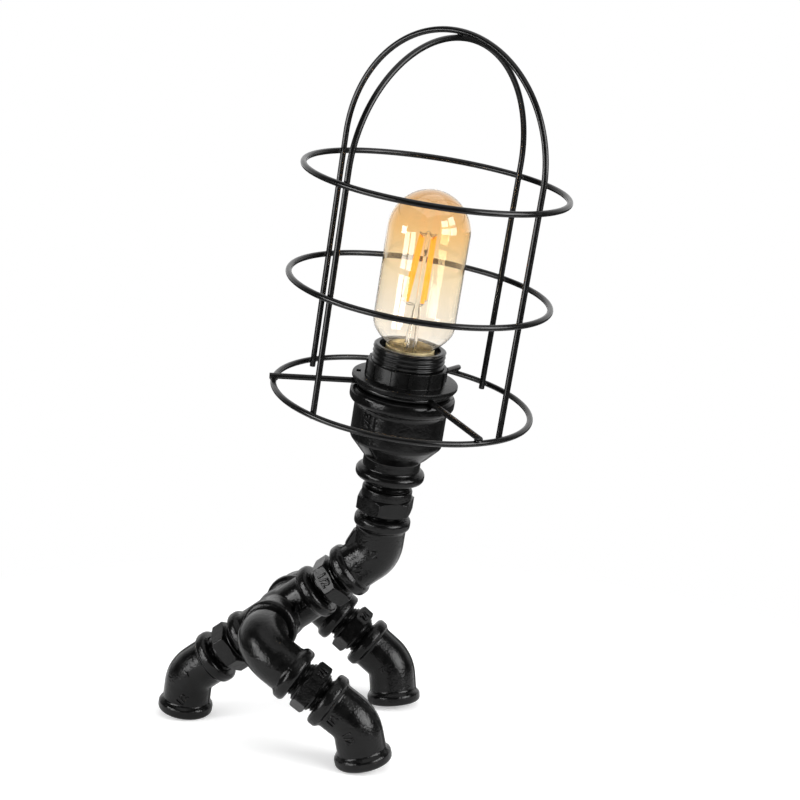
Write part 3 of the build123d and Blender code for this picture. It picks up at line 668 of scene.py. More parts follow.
def reducing_nipple_mesh():
    """Hex reducing nipple in the head frame."""
    low_face = -SOCKET_LENGTH - REDUCING_GAP
    hex_low = low_face + REDUCING_LOWER_NECK
    hex_high = hex_low + REDUCING_HEX_LENGTH
    neck = hex_high + REDUCING_SHOULDER
    low = HALF_INCH_R, low_face - REDUCING_HALF_ENGAGED, hex_low - REDUCING_UNDERCUT
    high = THREE_QUARTER_R, -SOCKET_LENGTH + REDUCING_LARGE_ENGAGED, neck
    root = THREE_QUARTER_R - 1.1
    above = [(REDUCING_SHOULDER_R, hex_high), (REDUCING_SHOULDER_R, neck - 0.2, REDUCING_ROUND)]
    above = outline(above + [(root, neck, 0.2), (root, neck + 0.4)])
    return hex_fitting(REDUCING_HEX, (hex_low, hex_high), low, high, [(HALF_INCH_R + 0.7, hex_low)], above, 0.5)


def socket_mesh():
    """Bell-shaped reducing socket with two casting ribs and a flat pad for its size number."""
    outside = outline(
        [
            (SOCKET_BORE_R + 1.0, 0), (SOCKET_TOP_BEAD_R, 0, SOCKET_ROUND),
            (SOCKET_TOP_BEAD_R, -SOCKET_TOP_BEAD, SOCKET_ROUND),
            (SOCKET_BODY_R, -SOCKET_TOP_BEAD - SOCKET_SLOPE, SOCKET_BLEND),
            (SOCKET_BODY_R, -SOCKET_BODY_END, SOCKET_BLEND), (SOCKET_NECK_R, -SOCKET_NECK_START, SOCKET_NECK_BLEND),
            (SOCKET_NECK_R, -SOCKET_LENGTH + SOCKET_LOW_BEAD + SOCKET_LOW_SLOPE, SOCKET_NECK_BLEND),
            (SOCKET_LOW_BEAD_R, -SOCKET_LENGTH + SOCKET_LOW_BEAD, BEAD_ROUND),
            (SOCKET_LOW_BEAD_R, -SOCKET_LENGTH, BEAD_ROUND), (THREE_QUARTER_R + 1.0, -SOCKET_LENGTH),
        ],
        steps=10,
    )
    dense = [outside[0]]
    for point in outside[1:]:
        start = Vector(dense[-1])
        count = max(1, int((Vector(point) - start).length / LINE_STEP))
        dense += [tuple(start.lerp(Vector(point), (i + 1) / count)) for i in range(count)]
    inside = [
        (THREE_QUARTER_R + THREAD_GAP, -SOCKET_LENGTH + 1.0),
        (THREE_QUARTER_R + THREAD_GAP, -SOCKET_LENGTH + THREAD_DEPTH + 1),
        (SOCKET_BORE_R, -SOCKET_BORE_DEPTH),
        (SOCKET_BORE_R, -0.8),
    ]
    rib_top = -SOCKET_TOP_BEAD - SOCKET_SLOPE * 0.6
    rib_low = -SOCKET_NECK_START

    def rule(radius, height, angle):
        if radius < SOCKET_BORE_R and height > -SOCKET_BODY_END - 2 or not rib_low < height < rib_top:
            return radius
        if radius < THREE_QUARTER_R + 1:
            return radius
        off = abs(sin(angle - radians(SOCKET_RIB_AZIMUTH))) * radius
        rib = clamped((SOCKET_RIB_WIDTH / 2 + SOCKET_FLANK / 2 - off) / SOCKET_FLANK)
        off = abs((angle - radians(SOCKET_PAD_AZIMUTH) + pi) % (2 * pi) - pi) * radius
        pad = clamped((SOCKET_PAD_WIDTH / 2 + SOCKET_FLANK / 2 - off) / SOCKET_FLANK)
        end = clamped((rib_top - height) / 1.2, (height - rib_low) / 3.0)
        return radius + (SOCKET_RIB * rib + SOCKET_PAD * pad) * end

    return lathe(dense + inside, even_angles(288), rule)


def cross_mesh():
    """Four-way cross: a smooth body from voxels, with beads turned at each port."""
    work = bmesh.new()
    arm = lathe(BEAD_OUTLINE + [(BODY_R, CROSS_REACH), (0, CROSS_REACH), (0, 0)], even_angles(96))
    for turn in range(4):
        port = Matrix.Rotation(pi / 2 * turn, 4, "Z") @ Matrix.Translation((CROSS_REACH, 0, 0))
        port = port @ Matrix.Rotation(-pi / 2, 4, "Y")
        copy = arm.copy()
        copy.transform(port)
        work.from_mesh(copy)
    bmesh.ops.create_uvsphere(work, u_segments=64, v_segments=32, radius=CROTCH_R)
    obj = linked("cross_work", mesh_from(work))
    remesh = obj.modifiers.new("voxels", "REMESH")
    remesh.mode = "VOXEL"
    remesh.voxel_size = VOXEL
    result = evaluated_mesh(obj)
    group = obj.vertex_groups.new(name="crotch")
    obj.modifiers.clear()
    obj.data = result
    for vertex in result.vertices:
        reach = max(abs(vertex.co.x), abs(vertex.co.y))
        least = LEAST_SOFTENING if reach < CROSS_REACH - 0.5 else 0.0
        group.add([vertex.index], max(clamped((CROTCH_END - reach) / CROTCH_FADE), least), "REPLACE")
    soften = obj.modifiers.new("soften", "SMOOTH")
    soften.factor, soften.iterations = SOFTENING
    soften.vertex_group = "crotch"
    result = evaluated_mesh(obj)
    bpy.data.objects.remove(obj)
    return result


def numerals(text, size):
    """Raised cast numerals with rounded strokes on the XY plane, sunk a little into it."""
    curve = bpy.data.curves.new("numerals", "FONT")
    curve.body = text
    curve.size = size
    curve.align_x = "CENTER"
    curve.align_y = "CENTER"
    curve.offset = size * MARK_WEIGHT - MARK_ROUND * 0.3
    curve.extrude = MARK_RISE - MARK_ROUND
    curve.bevel_depth = MARK_ROUND
    curve.bevel_resolution = 2
    curve.resolution_u = 3
    obj = linked("numerals", curve)
    mesh = evaluated_mesh(obj)
    bpy.data.objects.remove(obj)
    bpy.data.curves.remove(curve)
    return tidy_mesh(mesh)


def block(length, width, rise):
    """Raised lug with rounded edges on the XY plane, sunk a little into it."""
    work = bmesh.new()
    bmesh.ops.create_cube(work, size=1.0)
    bmesh.ops.scale(work, vec=(length, width, 2 * rise), verts=work.verts)
    bmesh.ops.subdivide_edges(work, edges=work.edges, cuts=9, use_grid_fill=True)
    for vertex in work.verts:
        edge = max(abs(vertex.co.x) - length / 2 + LUG_ROUND, abs(vertex.co.y) - width / 2 + LUG_ROUND, 0.0)
        vertex.co.z *= 1 - 0.3 * (edge / LUG_ROUND) ** 2
        if vertex.co.z < 0:
            vertex.co.z *= LUG_ROOT / rise
    return mesh_from(work)


def in_corner(mark):
    """Lays a flat mark across the inner corner of a 45-degree elbow."""
    centre, normal = bend_station(bend_length(ELBOW_REACH, ELBOW_REACH, HALF_TURN) / 2, ELBOW_REACH, HALF_TURN)
    along = normal.cross(Vector((0, 1, 0)))
    turn = Matrix((along, Vector((0, 1, 0)), -normal)).transposed().to_4x4()
    mark.transform(Matrix.Translation(centre - normal * BODY_R) @ turn)
    return mark


def on_side(mark, mesh, along):
    """Lays a flat mark on the -Y side of a fitting's own mesh; it reads along X."""
    work = bmesh.new()
    work.from_mesh(mesh)
    tree = BVHTree.FromBMesh(work)
    for vertex in mark.vertices:
        across, up, rise = vertex.co
        spot = tree.ray_cast(Vector((along + across, -2 * BODY_R, up)), Vector((0, 1, 0)))[0]
        vertex.co = (along + across, spot.y - rise, up)
    work.free()
    return mark


def on_bend(mark, travel, angle, turn):
    """Lays a flat mark on a 45-degree elbow's body; it reads along the bend when its turn is 0."""
    mark.transform(spin(turn))
    for vertex in mark.vertices:
        along, across, rise = vertex.co
        around = radians(angle) - across / BODY_R
        centre, normal = bend_station(travel + along, ELBOW_REACH, HALF_TURN)
        vertex.co = centre + (normal * cos(around) + Vector((0, sin(around), 0))) * (BODY_R + rise)
    return mark


def on_round(mark, radius, azimuth, height, turn):
    """Lays a flat mark on a cylinder about Z; it reads round the cylinder when its turn is 0."""
    mark.transform(spin(turn))
    for vertex in mark.vertices:
        around, along, rise = vertex.co
        angle = radians(azimuth) + around / radius
        vertex.co = ((radius + rise) * cos(angle), (radius + rise) * sin(angle), height + along)
    return mark


def on_flat(mark, across_flats, azimuth):
    """Lays a flat mark on one side of a hexagon about Z."""
    facing = Matrix(((0, 0, 1, 0), (1, 0, 0, 0), (0, 1, 0, 0), (0, 0, 0, 1)))
    mark.transform(spin(azimuth) @ Matrix.Translation((across_flats / 2, 0, 0)) @ facing)
    return mark


# ---- Lampholder, shade ring, cage and bulb ----


def skirt_mesh():
    shell_r = SHELL_R + SHELL_WALL + 0.05
    section = [(BLOCK_R, SHELL_FLOOR), (BLOCK_R, SKIRT_JOINT)]
    section += wall(SKIRT_R, SKIRT_JOINT, SKIRT_TOP - 0.6, SKIRT_PITCH / 12)
    section += outline(
        [
            (SKIRT_R - 0.6, SKIRT_TOP - 0.5), (SKIRT_R - 0.9, SKIRT_TOP, 0.4), (MOUTH_R, SKIRT_TOP, 0.4),
            (MOUTH_R, SKIRT_TOP - MOUTH_DEPTH),
        ]
    )
    section += [(shell_r, SKIRT_TOP - MOUTH_DEPTH), (shell_r, SHELL_FLOOR)]
    cut = threaded(SKIRT_THREAD_LOW, SKIRT_TOP - 0.3, SKIRT_PITCH, SKIRT_THREAD_DEPTH, 1.0)

    def rule(radius, height, angle):
        return cut(radius, height, angle) if radius == SKIRT_R else radius

    return lathe(section, even_angles(180), rule)


def grip_angles():
    """Angles that resolve the sides of each grip rib and the wall between two ribs."""
    half = degrees_of(GRIP_WIDTH / 2 / COLLAR_R)
    offsets = (-half - 0.35, -half, -half * 0.5, 0, half * 0.5, half, half + 0.35, 5, 8, 11, 15, 19, 22, 25)
    turns = [GRIP_AZIMUTH + index * GRIP_STEP + off for index in range(GRIP_COUNT) for off in offsets]
    return sorted(radians(turn) % (2 * pi) for turn in turns)


def shade_ring_mesh():
    low = 2 * WIRE_R + 2 * CAGE_CLEARANCE
    mid = low + FLANGE_THICKNESS
    high = mid + COLLAR_HEIGHT
    bore_r = SKIRT_R + RING_GAP
    step = low + FLANGE_THICKNESS / 3
    half = degrees_of(GRIP_WIDTH / 2 / COLLAR_R)
    section = outline(
        [
            (bore_r, low), (FLANGE_R - FLANGE_STEP, low, 0.3), (FLANGE_R - FLANGE_STEP, step, 0.15),
            (FLANGE_R, step, 0.2), (FLANGE_R, mid, 0.5), (COLLAR_R, mid, 0.5), (COLLAR_R, high, 0.5),
            (bore_r, high, 0.3),
        ],
        closed=True,
        steps=4,
    )

    def rule(radius, height, angle):
        off = abs((degrees_of(angle) - GRIP_AZIMUTH + GRIP_STEP / 2) % GRIP_STEP - GRIP_STEP / 2)
        if off > half + 0.2 or not COLLAR_R - 0.05 < radius < COLLAR_R + 0.05 or height < mid + 0.05:
            return radius
        return radius + GRIP_HEIGHT

    mesh = lathe(section, grip_angles(), rule)
    return cut_slot(mesh, spin(SLOT_AZIMUTH) @ Matrix.Translation((SLOT_PLACE_R, 0, mid)))


def cut_slot(mesh, location):
    """Cuts one shallow straight slot."""
    work = bmesh.new()
    size = Matrix.Diagonal((SLOT_WIDTH, SLOT_LENGTH, SLOT_DEPTH * 2, 1))
    bmesh.ops.create_cube(work, size=1.0, matrix=location @ size)
    objects = [linked(data.name, data) for data in (mesh, mesh_from(work))]
    cut = objects[0].modifiers.new("cut", "BOOLEAN")
    cut.operation = "DIFFERENCE"
    cut.object = objects[1]
    result = evaluated_mesh(objects[0])
    for obj in objects:
        bpy.data.objects.remove(obj)
    return result


def tube_mesh(points, radius, closed=False, sides=24):
    """Round wire through a list of points, with rounded ends where it is open."""
    points = [Vector(p) for p in points]
    last = len(points) - 1
    rings = []
    normal = None
    for index, point in enumerate(points):
        before = points[index - 1] if closed or index else point
        after = points[(index + 1) % len(points)] if closed or index < last else point
        tangent = (after - before).normalized()
        normal = normal or tangent.orthogonal()
        normal = (normal - tangent * normal.dot(tangent)).normalized()
        side = tangent.cross(normal)
        ring = [point + (normal * cos(a) + side * sin(a)) * radius for a in even_angles(sides)]
        rings.append(ring)
        if closed or 0 < index < last:
            continue
        outwards = tangent if index else -tangent
        for share in (0.95, 0.8, 0.5):
            inset = radius * 0.45 * (1 - sqrt(1 - share**2))
            smaller = [point + (p - point) * share + outwards * inset for p in ring]
            rings.insert(len(rings) if index else 0, smaller)
    return skin(rings, loop=closed)


def ring_points(radius, height):
    return [(radius * cos(a), radius * sin(a), height) for a in even_angles()]


def hoop_points(azimuth, drop):
    hoop_r = CAGE_RING_R - 2 * WIRE_R - WELD_GAP
    low = BOTTOM_RING_HEIGHT - HOOP_TAIL
    spring = TOP_RING_HEIGHT + HOOP_STRAIGHT - drop
    points = [(-hoop_r, 0, z) for z in steps_between(low, spring, 6.0)]
    points += [(-hoop_r * cos(a), 0, spring + hoop_r * sin(a)) for a in [pi * i / 72 for i in range(1, 72)]]
    points += [(hoop_r, 0, z) for z in steps_between(spring, low, 6.0)]
    turn = Matrix.Rotation(radians(azimuth), 3, "Z")
    return [turn @ Vector(p) for p in points]


def spoke_points(index):
    azimuth = SPOKE_AZIMUTH + index * 360 / SPOKE_COUNT
    hub_height = CAGE_CLEARANCE + WIRE_R
    ring_height = BOTTOM_RING_HEIGHT + 2 * WIRE_R + WELD_GAP
    slope = (ring_height - hub_height) / (CAGE_RING_R - HUB_RING_R)
    lift = 2 * WIRE_R * (sqrt(1 + slope**2) - 1)
    end_r = CAGE_RING_R + SPOKE_TAIL
    turn = Matrix.Rotation(radians(azimuth), 3, "Z")
    start = Vector((HUB_RING_R + WIRE_R, 0, hub_height + lift + slope * WIRE_R))
    end = Vector((end_r, 0, ring_height + slope * SPOKE_TAIL + lift))
    return [turn @ start.lerp(end, i / 8) for i in range(9)]


def weld(radius, azimuth, height, way, length=WELD[0], size=WELD[1]):
    """Smooth bead of weld at a place given round the lamp's axis, drawn out along X or Y there."""
    work = bmesh.new()
    bmesh.ops.create_icosphere(work, subdivisions=3, radius=1.0)
    mesh = mesh_from(work)
    turn = Matrix.Rotation(radians(azimuth), 3, "Z")
    along = (turn @ Vector(way)).to_track_quat("X", "Z").to_matrix().to_4x4()
    centre = turn @ Vector((radius, 0, height))
    mesh.transform(Matrix.Translation(centre) @ along @ Matrix.Diagonal((length, size, size, 1)))
    return mesh


def glass_outline(inset):
    """Half section of the envelope from its foot to its tip, moved inwards."""
    dome = BULB_TOP - BULB_R
    side = BULB_R - inset
    neck = GLASS_NECK_R - inset
    points = [(neck, GLASS_FOOT), (neck, CAP_RIM - 2), (neck, CAP_RIM)]
    chord = sqrt((side - neck) ** 2 + (GLASS_SHOULDER - CAP_RIM) ** 2)
    for step in range(1, 25):
        share = step / 24
        h00 = 2 * share**3 - 3 * share**2 + 1
        h10 = share**3 - 2 * share**2 + share
        h01 = -2 * share**3 + 3 * share**2
        h11 = share**3 - share**2
        r = h00 * neck + h10 * chord * GLASS_SLOPE + h01 * side
        z = h00 * CAP_RIM + h10 * chord * GLASS_SLOPE + h01 * GLASS_SHOULDER + h11 * chord
        points.append((r, z))
    points += wall(side, GLASS_SHOULDER, dome, 5.0)[1:]
    points += [(side * cos(a), dome + side * sin(a)) for a in [pi / 2 * i / 32 for i in range(1, 33)]]
    return points


def glass_mesh():
    return lathe(glass_outline(0) + glass_outline(GLASS_WALL)[::-1], even_angles(128))


def stem_mesh():
    """Hollow flare that narrows to the pinch, with the thin rod above it."""
    foot_r = GLASS_NECK_R - GLASS_WALL - 0.1
    flare = GLASS_FOOT + STEM_FLARE_HEIGHT * 0.4
    section = outline(
        [
            (foot_r - GLASS_WALL, GLASS_FOOT + 0.1), (foot_r, GLASS_FOOT + 0.1),
            (foot_r, GLASS_FOOT + GLASS_WALL, 0.3), (STEM_R + 0.6, flare, 2.0), (STEM_R * 0.6, STEM_TOP - 2, 2.0),
            (STEM_ROD_R, STEM_TOP + STEM_R, 3.0), (STEM_ROD_R, STEM_ROD_TOP, 0.8), (0, STEM_ROD_TOP),
        ],
    )
    inside = outline(
        [
            (0, STEM_TOP - 5), (STEM_R * 0.6 - STEM_WALL, STEM_TOP - 6, 0.8), (STEM_R + 0.6 - STEM_WALL, flare, 2.0),
            (foot_r - GLASS_WALL, GLASS_FOOT + GLASS_WALL, 0.3), (foot_r - GLASS_WALL, GLASS_FOOT + 0.1),
        ],
    )
    return lathe(section + inside[:-1], even_angles(64))


def lead_mesh():
    """Bent wires at both ends of the strips, and the two leads that run down through the stem."""
    parts = []
    for index in range(FILAMENT_COUNT):
        low, high = filament_ends(index)
        side = Vector((high.y, -high.x, 0)).normalized()
        root = Vector((low.x * 0.3, low.y * 0.3, STEM_TOP + STEM_R * 0.5))
        knee = Vector((low.x * 0.75, low.y * 0.75, low.z - 2.6))
        foot = low + Vector((low.x * 0.3, low.y * 0.3, -0.4))
        parts.append([root, knee, foot, low + Vector((0, 0, -0.2)), foot + side * 1.2])
        hook = Vector((high.x * 0.2, high.y * 0.2, STEM_ROD_TOP - 1.2))
        top = Vector((high.x, high.y, high.z + 0.4))
        crook = top + Vector((high.x * 0.25, high.y * 0.25, 1.4))
        parts.append([hook, (hook + crook) / 2 + Vector((0, 0, -0.8)), crook, top])
    for way in (-1, 1):
        parts.append([(way * 0.9, 0, STEM_TOP + 1), (way * 1.1, 0, STEM_TOP - 6), (way * 1.8, 0, GLASS_FOOT + 4)])
    return joined(*[tube_mesh(part, THIN_LEAD_R, sides=8) for part in parts])


def filament_ends(index):
    azimuth = radians(FILAMENT_AZIMUTHS[index])
    low = Vector((FILAMENT_LOW_RADIUS * cos(azimuth), FILAMENT_LOW_RADIUS * sin(azimuth), FILAMENT_LOW))
    high = Vector((FILAMENT_HIGH_RADIUS * cos(azimuth), FILAMENT_HIGH_RADIUS * sin(azimuth), FILAMENT_HIGH))
    return low + FILAMENT_LEAN, high


def cap_mesh():
    inner = CAP_R - CAP_METAL
    section = [(inner, CAP_RIM)]
    section += outline([(inner, CAP_RIM), (CAP_R, CAP_RIM, 0.15), (CAP_R, CAP_RIM - 1.5)])
    section += wall(CAP_R, CAP_THREAD_TOP, CAP_THREAD_END, CAP_STEP)
    section += [(CAP_CONE_R, CAP_CONE_END), (CAP_CONE_R - CAP_METAL, CAP_CONE_END)]
    section += wall(inner - 0.8, CAP_THREAD_END + CAP_METAL, CAP_THREAD_TOP, CAP_STEP)

    def rule(radius, height, angle):
        if radius != CAP_R or not CAP_THREAD_END < height < CAP_THREAD_TOP:
            return radius
        fade = clamped((height - CAP_THREAD_END) / 1.5, (CAP_THREAD_TOP - height) / 1.5)
        wave = 0.5 - 0.5 * cos(2 * pi * (height / CAP_PITCH - angle / (2 * pi)))
        return radius - CAP_THREAD_DEPTH * fade * wave

    return lathe(section, even_angles(96), rule)


# ---- Materials ----

WHITE = (1.0, 1.0, 1.0, 1.0)
FINE_GRAIN = 900.0
BROAD_GRAIN = 260.0
GRAIN_DETAIL = 1.5
COLOUR_SPAN = (0.35, 0.65)
ROUGH_SPAN = (0.3, 0.7)
EDGE_SPAN = (0.53, 0.62)
FINE_DEPTH = 0.00035
BROAD_DEPTH = 0.0009
WEAR = 1.5
AMBER_HEIGHTS = (0.024, 0.110)
AMBER_STOPS = [
    (0.0, (0.98, 0.95, 0.90)),
    (0.22, (0.99, 0.93, 0.83)),
    (0.5, (0.98, 0.87, 0.68)),
    (0.75, (0.96, 0.74, 0.45)),
    (1.0, (0.85, 0.64, 0.42)),
]


class Tree:
    """Small helper that adds and joins shader nodes."""

    def __init__(self, tree):
        self.tree = tree
        self.tree.nodes.clear()

    def add(self, kind, **values):
        """New node; each value goes to the node's own setting or else to its input of that name."""
        node = self.tree.nodes.new(kind)
        for key, value in values.items():
            if hasattr(node, key):
                setattr(node, key, value)
            else:
                node.inputs[key.replace("_", " ")].default_value = value
        return node

    def link(self, source, output, target, socket):
        self.tree.links.new(source.outputs[output], target.inputs[socket])

    def join(self, kind, *sources, **values):
        """New node whose first inputs come from (source, output) pairs."""
        node = self.add(kind, **values)
        for socket, (source, output) in enumerate(sources):
            self.link(source, output, node, socket)
        return node

    def vector(self, operation, source, output, *constant):
        """Vector operation on a source and, for some, a constant."""
        node = self.join("ShaderNodeVectorMath", (source, output), operation=operation)
        for value in constant:
            node.inputs[1].default_value = tuple(value)
        return node

    def noise(self, scale, detail):
        coords = self.add("ShaderNodeTexCoord")
        return self.join("ShaderNodeTexNoise", (coords, "Object"), Scale=scale, Detail=detail, Roughness=0.5)

    def spread(self, source, output, ends, to_ends, smooth=False):
        """Maps one span of values to another."""
        span = self.add("ShaderNodeMapRange")
        for socket, value in zip(("From Min", "From Max", "To Min", "To Max"), (*ends, *to_ends)):
            span.inputs[socket].default_value = value
        if smooth:
            span.interpolation_type = "SMOOTHSTEP"
        self.link(source, output, span, "Value")
        return span

    def ramp(self, source, output, stops):
        ramp = self.add("ShaderNodeValToRGB")
        points = ramp.color_ramp.elements
        stops = list(stops)
        while len(points) < len(stops):
            points.new(0.5)
        for point, (position, colour) in zip(points, stops):
            point.position = position
            point.color = (*colour, 1.0)
        self.link(source, output, ramp, "Fac")
        return ramp

    def seen(self, path):
        """1 to the camera and through glass."""
        ways = (path, "Is Camera Ray"), (path, "Is Transmission Ray")
        return self.join("ShaderNodeMath", *ways, operation="MAXIMUM")


class Nodes(Tree):
    """Material with a principled shader already joined to its output."""

    def __init__(self, name, **values):
        self.material = bpy.data.materials.new(name)
        self.material.use_nodes = True
        super().__init__(self.material.node_tree)
        self.output = self.add("ShaderNodeOutputMaterial")
        self.shader = self.add("ShaderNodeBsdfPrincipled", **values)
        self.link(self.shader, "BSDF", self.output, "Surface")

    def bump(self, layers):
        """Chain of bumps; each layer is (source, strength, distance)."""
        last = None
        for source, strength, distance in layers:
            bump = self.add("ShaderNodeBump", Strength=strength, Distance=distance)
            self.link(source, "Fac", bump, "Height")
            if last:
                self.link(last, "Normal", bump, "Normal")
            last = bump
        self.link(last, "Normal", self.shader, "Normal")


def greys(*values):
    return [(value, value, value) for value in values]


def skinned(name, colours, rough, relief, metallic=0.0, spec=0.5):
    """Opaque material with a colour, roughness and relief that vary over the surface and lighter edges."""
    nodes = Nodes(name, Metallic=metallic, Specular_IOR_Level=spec)
    fine = nodes.noise(FINE_GRAIN, GRAIN_DETAIL)
    broad = nodes.noise(BROAD_GRAIN, GRAIN_DETAIL)
    colour = nodes.ramp(broad, "Fac", zip(COLOUR_SPAN, colours))
    edge = nodes.spread(nodes.add("ShaderNodeNewGeometry"), "Pointiness", EDGE_SPAN, (0.0, 1.0))
    share = nodes.join("ShaderNodeMath", (edge, "Result"), (fine, "Fac"), operation="MULTIPLY")
    blend = nodes.add("ShaderNodeMix", data_type="RGBA")
    nodes.link(share, "Value", blend, "Factor")
    nodes.link(colour, "Color", blend, "A")
    blend.inputs["B"].default_value = (*(min(1.0, c * WEAR) for c in colours[1]), 1.0)
    nodes.link(blend, "Result", nodes.shader, "Base Color")
    spread = nodes.spread(broad, "Fac", ROUGH_SPAN, rough)
    nodes.link(spread, "Result", nodes.shader, "Roughness")
    nodes.bump([(broad, relief[0], BROAD_DEPTH), (fine, relief[1], FINE_DEPTH)])
    return nodes.material


CAST = skinned("cast_black", greys(0.002, 0.004), (0.15, 0.23), (0.16, 0.46), spec=0.25)
BELL_BLACK = skinned("bell_black", greys(0.002, 0.004), (0.15, 0.21), (0.12, 0.18), spec=0.25)
HEX_BLACK = skinned("hex_black", greys(0.002, 0.004), (0.18, 0.26), (0.10, 0.28), spec=0.25)
WIRE = skinned("wire_black", greys(0.003, 0.005), (0.20, 0.26), (0.02, 0.04), spec=0.35)
MOULDED = skinned("moulded_black", greys(0.003, 0.006), (0.14, 0.20), (0.02, 0.04), spec=0.32)
RING_BLACK = skinned("ring_black", greys(0.003, 0.005), (0.24, 0.31), (0.04, 0.05), spec=0.18)
PALE = skinned("terminal_pale", [(0.55, 0.53, 0.48), (0.66, 0.64, 0.58)], (0.45, 0.6), (0.05, 0.08))
ZINC = skinned("zinc", [(0.55, 0.55, 0.53), (0.68, 0.68, 0.66)], (0.28, 0.42), (0.05, 0.1), metallic=1.0)
BRASS = skinned("stamped_brass", [(0.55, 0.40, 0.14), (0.66, 0.49, 0.19)], (0.30, 0.42), (0.04, 0.06), metallic=1.0)
CAP_BRASS = skinned("drawn_brass", [(0.62, 0.50, 0.27), (0.80, 0.67, 0.38)], (0.34, 0.46), (0.06, 0.08), metallic=0.5)
LEAD = skinned("nickel_wire", [(0.10, 0.08, 0.06), (0.22, 0.18, 0.14)], (0.3, 0.45), (0.04, 0.05), metallic=1.0)
SOLDER = skinned("soft_solder", greys(0.6, 0.72), (0.4, 0.5), (0.1, 0.1), metallic=1.0)
DARK_GLASS = skinned("insulator", [(0.02, 0.015, 0.03), (0.05, 0.04, 0.06)], (0.08, 0.12), (0.02, 0.02))


def filament_material():
    # The strips' emission is painted light: a glow that stands in for the studio light that the glass keeps off them.
    nodes = Nodes("strip_painted_glow", Roughness=0.45, Emission_Strength=0.55)
    grain = nodes.noise(1600.0, 3.0)
    colour = nodes.ramp(grain, "Fac", [(0.3, (1.0, 0.36, 0.006)), (0.7, (1.0, 0.45, 0.02))])
    nodes.link(colour, "Color", nodes.shader, "Base Color")
    nodes.link(colour, "Color", nodes.shader, "Emission Color")
    nodes.bump([(grain, 0.2, 0.0002)])
    nodes.material.cycles.emission_sampling = "NONE"
    return nodes.material


def bulb_glass_material():
    """Clear at the neck and amber towards the dome."""
    nodes = Nodes("amber_glass", Transmission_Weight=0.97, IOR=1.36, Roughness=0.0)
    nodes.shader.inputs["Coat Weight"].default_value = 0.45
    nodes.shader.inputs["Coat Roughness"].default_value = 0.0
    offset = nodes.vector("SUBTRACT", nodes.add("ShaderNodeTexCoord"), "Object", HEAD)
    height = nodes.vector("DOT_PRODUCT", offset, "Vector", LAMP)
    share = nodes.spread(height, "Value", AMBER_HEIGHTS, (0.0, 1.0))
    nodes.link(nodes.ramp(share, "Result", AMBER_STOPS), "Color", nodes.shader, "Base Color")
    return nodes.material


def clear_glass_material():
    nodes = Nodes("clear_glass", Transmission_Weight=1.0, IOR=1.5, Roughness=0.02)
    colour = nodes.ramp(nodes.noise(200.0, 2.0), "Fac", [(0.3, (0.96, 0.95, 0.92)), (0.7, (0.99, 0.98, 0.96))])
    nodes.link(colour, "Color", nodes.shader, "Base Color")
    return nodes.material


FILAMENT = filament_material()
AMBER = bulb_glass_material()
CLEAR = clear_glass_material()

# ---- Pieces ----

ARMS = {"near": NEAR, "far": FAR, "rear": REAR, "neck": NECK}
# Size numbers on the 45-degree elbows: text, size, travel along the bend, angle round it and turn
BEND_MARKS = {
    "near": [("1/2", 6.4, 25.0, 96, 0), ("1/2", 5.6, 11.6, 97, 90)],
    "far": [("2", 5.4, 21.5, 103, -90)],
    "rear": [("1/2", 6.0, 33.4, -92, 150), ("4", 5.6, 18.8, -76, 180)],
    "neck": [("1/2", 5.6, 24.8, -97, -80), ("1/2", 6.4, 11.6, -97, -80)],
}
# Size numbers on the hexagons: size and azimuth of the flat
HEX_MARKS = {"near": (6.0, 30), "far": (6.0, 30), "rear": (6.0, -30), "neck": (6.6, 90)}
CROSS_MARK = (5.8, 16.6)
PAD_MARK = (6.4, SOCKET_PAD_AZIMUTH - 2, -14.6)


def marked_elbow(arm, bore_r, open_thread, *more):
    marks = [on_bend(numerals(text, size), *spot) for text, size, *spot in BEND_MARKS[arm]]
    return joined(elbow_mesh(bore_r, open_thread), *marks, *more)


def hex_nipple(arm, name, node):
    size, azimuth = HEX_MARKS[arm]
    mesh = joined(nipple_mesh(), on_flat(numerals("1/2", size), NIPPLE_HEX, azimuth))
    piece(name, mesh, ARMS[arm]["nipple"] @ spin(HEX_TURN[arm]), HEX_BLACK, "base", node)


mesh = cross_mesh()
mesh = joined(mesh, on_side(numerals("1/2", CROSS_MARK[0]), mesh, CROSS_MARK[1]))
piece("cross_casting", mesh, place(CROSS, MAIN, NORMAL), CAST, "base", "cross_fitting")
for arm in ("near", "far"):
    piece(f"{arm}_street", street_mesh(), ARMS[arm]["street"], CAST, "base", f"{arm}_street_elbow")
    hex_nipple(arm, f"{arm}_nipple", f"{arm}_leg_nipple")
hex_nipple("rear", "rear_nipple", "rear_leg_nipple")
hex_nipple("neck", "main_nipple", "neck_nipple")
for arm in ("near", "far", "rear"):
    mesh = marked_elbow(arm, HALF_INCH_TAPPED_R, True)
    piece(f"{arm}_foot", mesh, ARMS[arm]["elbow"], CAST, "base", f"{arm}_foot_elbow")
mesh = marked_elbow("neck", HALF_INCH_R + THREAD_GAP, False, in_corner(block(*LUG)))
piece("neck_bend", mesh, NECK["elbow"], CAST, "neck", "neck_elbow")
spot = HEAD_PLACE @ spin(HEX_TURN["reducing"])
piece("reducing_hex", reducing_nipple_mesh(), spot, HEX_BLACK, "neck", "reducing_nipple")
pad_mark = on_round(numerals("3/4", PAD_MARK[0]), SOCKET_BODY_R + SOCKET_PAD, *PAD_MARK[1:], -90)
piece("bell_socket", joined(socket_mesh(), pad_mark), HEAD_PLACE, BELL_BLACK, "neck", "reducing_socket")
piece("threaded_skirt", skirt_mesh(), HEAD_PLACE, MOULDED, "neck", "holder_skirt", sharp=40.0)
piece("ribbed_ring", shade_ring_mesh(), HEAD_PLACE, RING_BLACK, "shade_ring", "shade_ring", sharp=40.0)

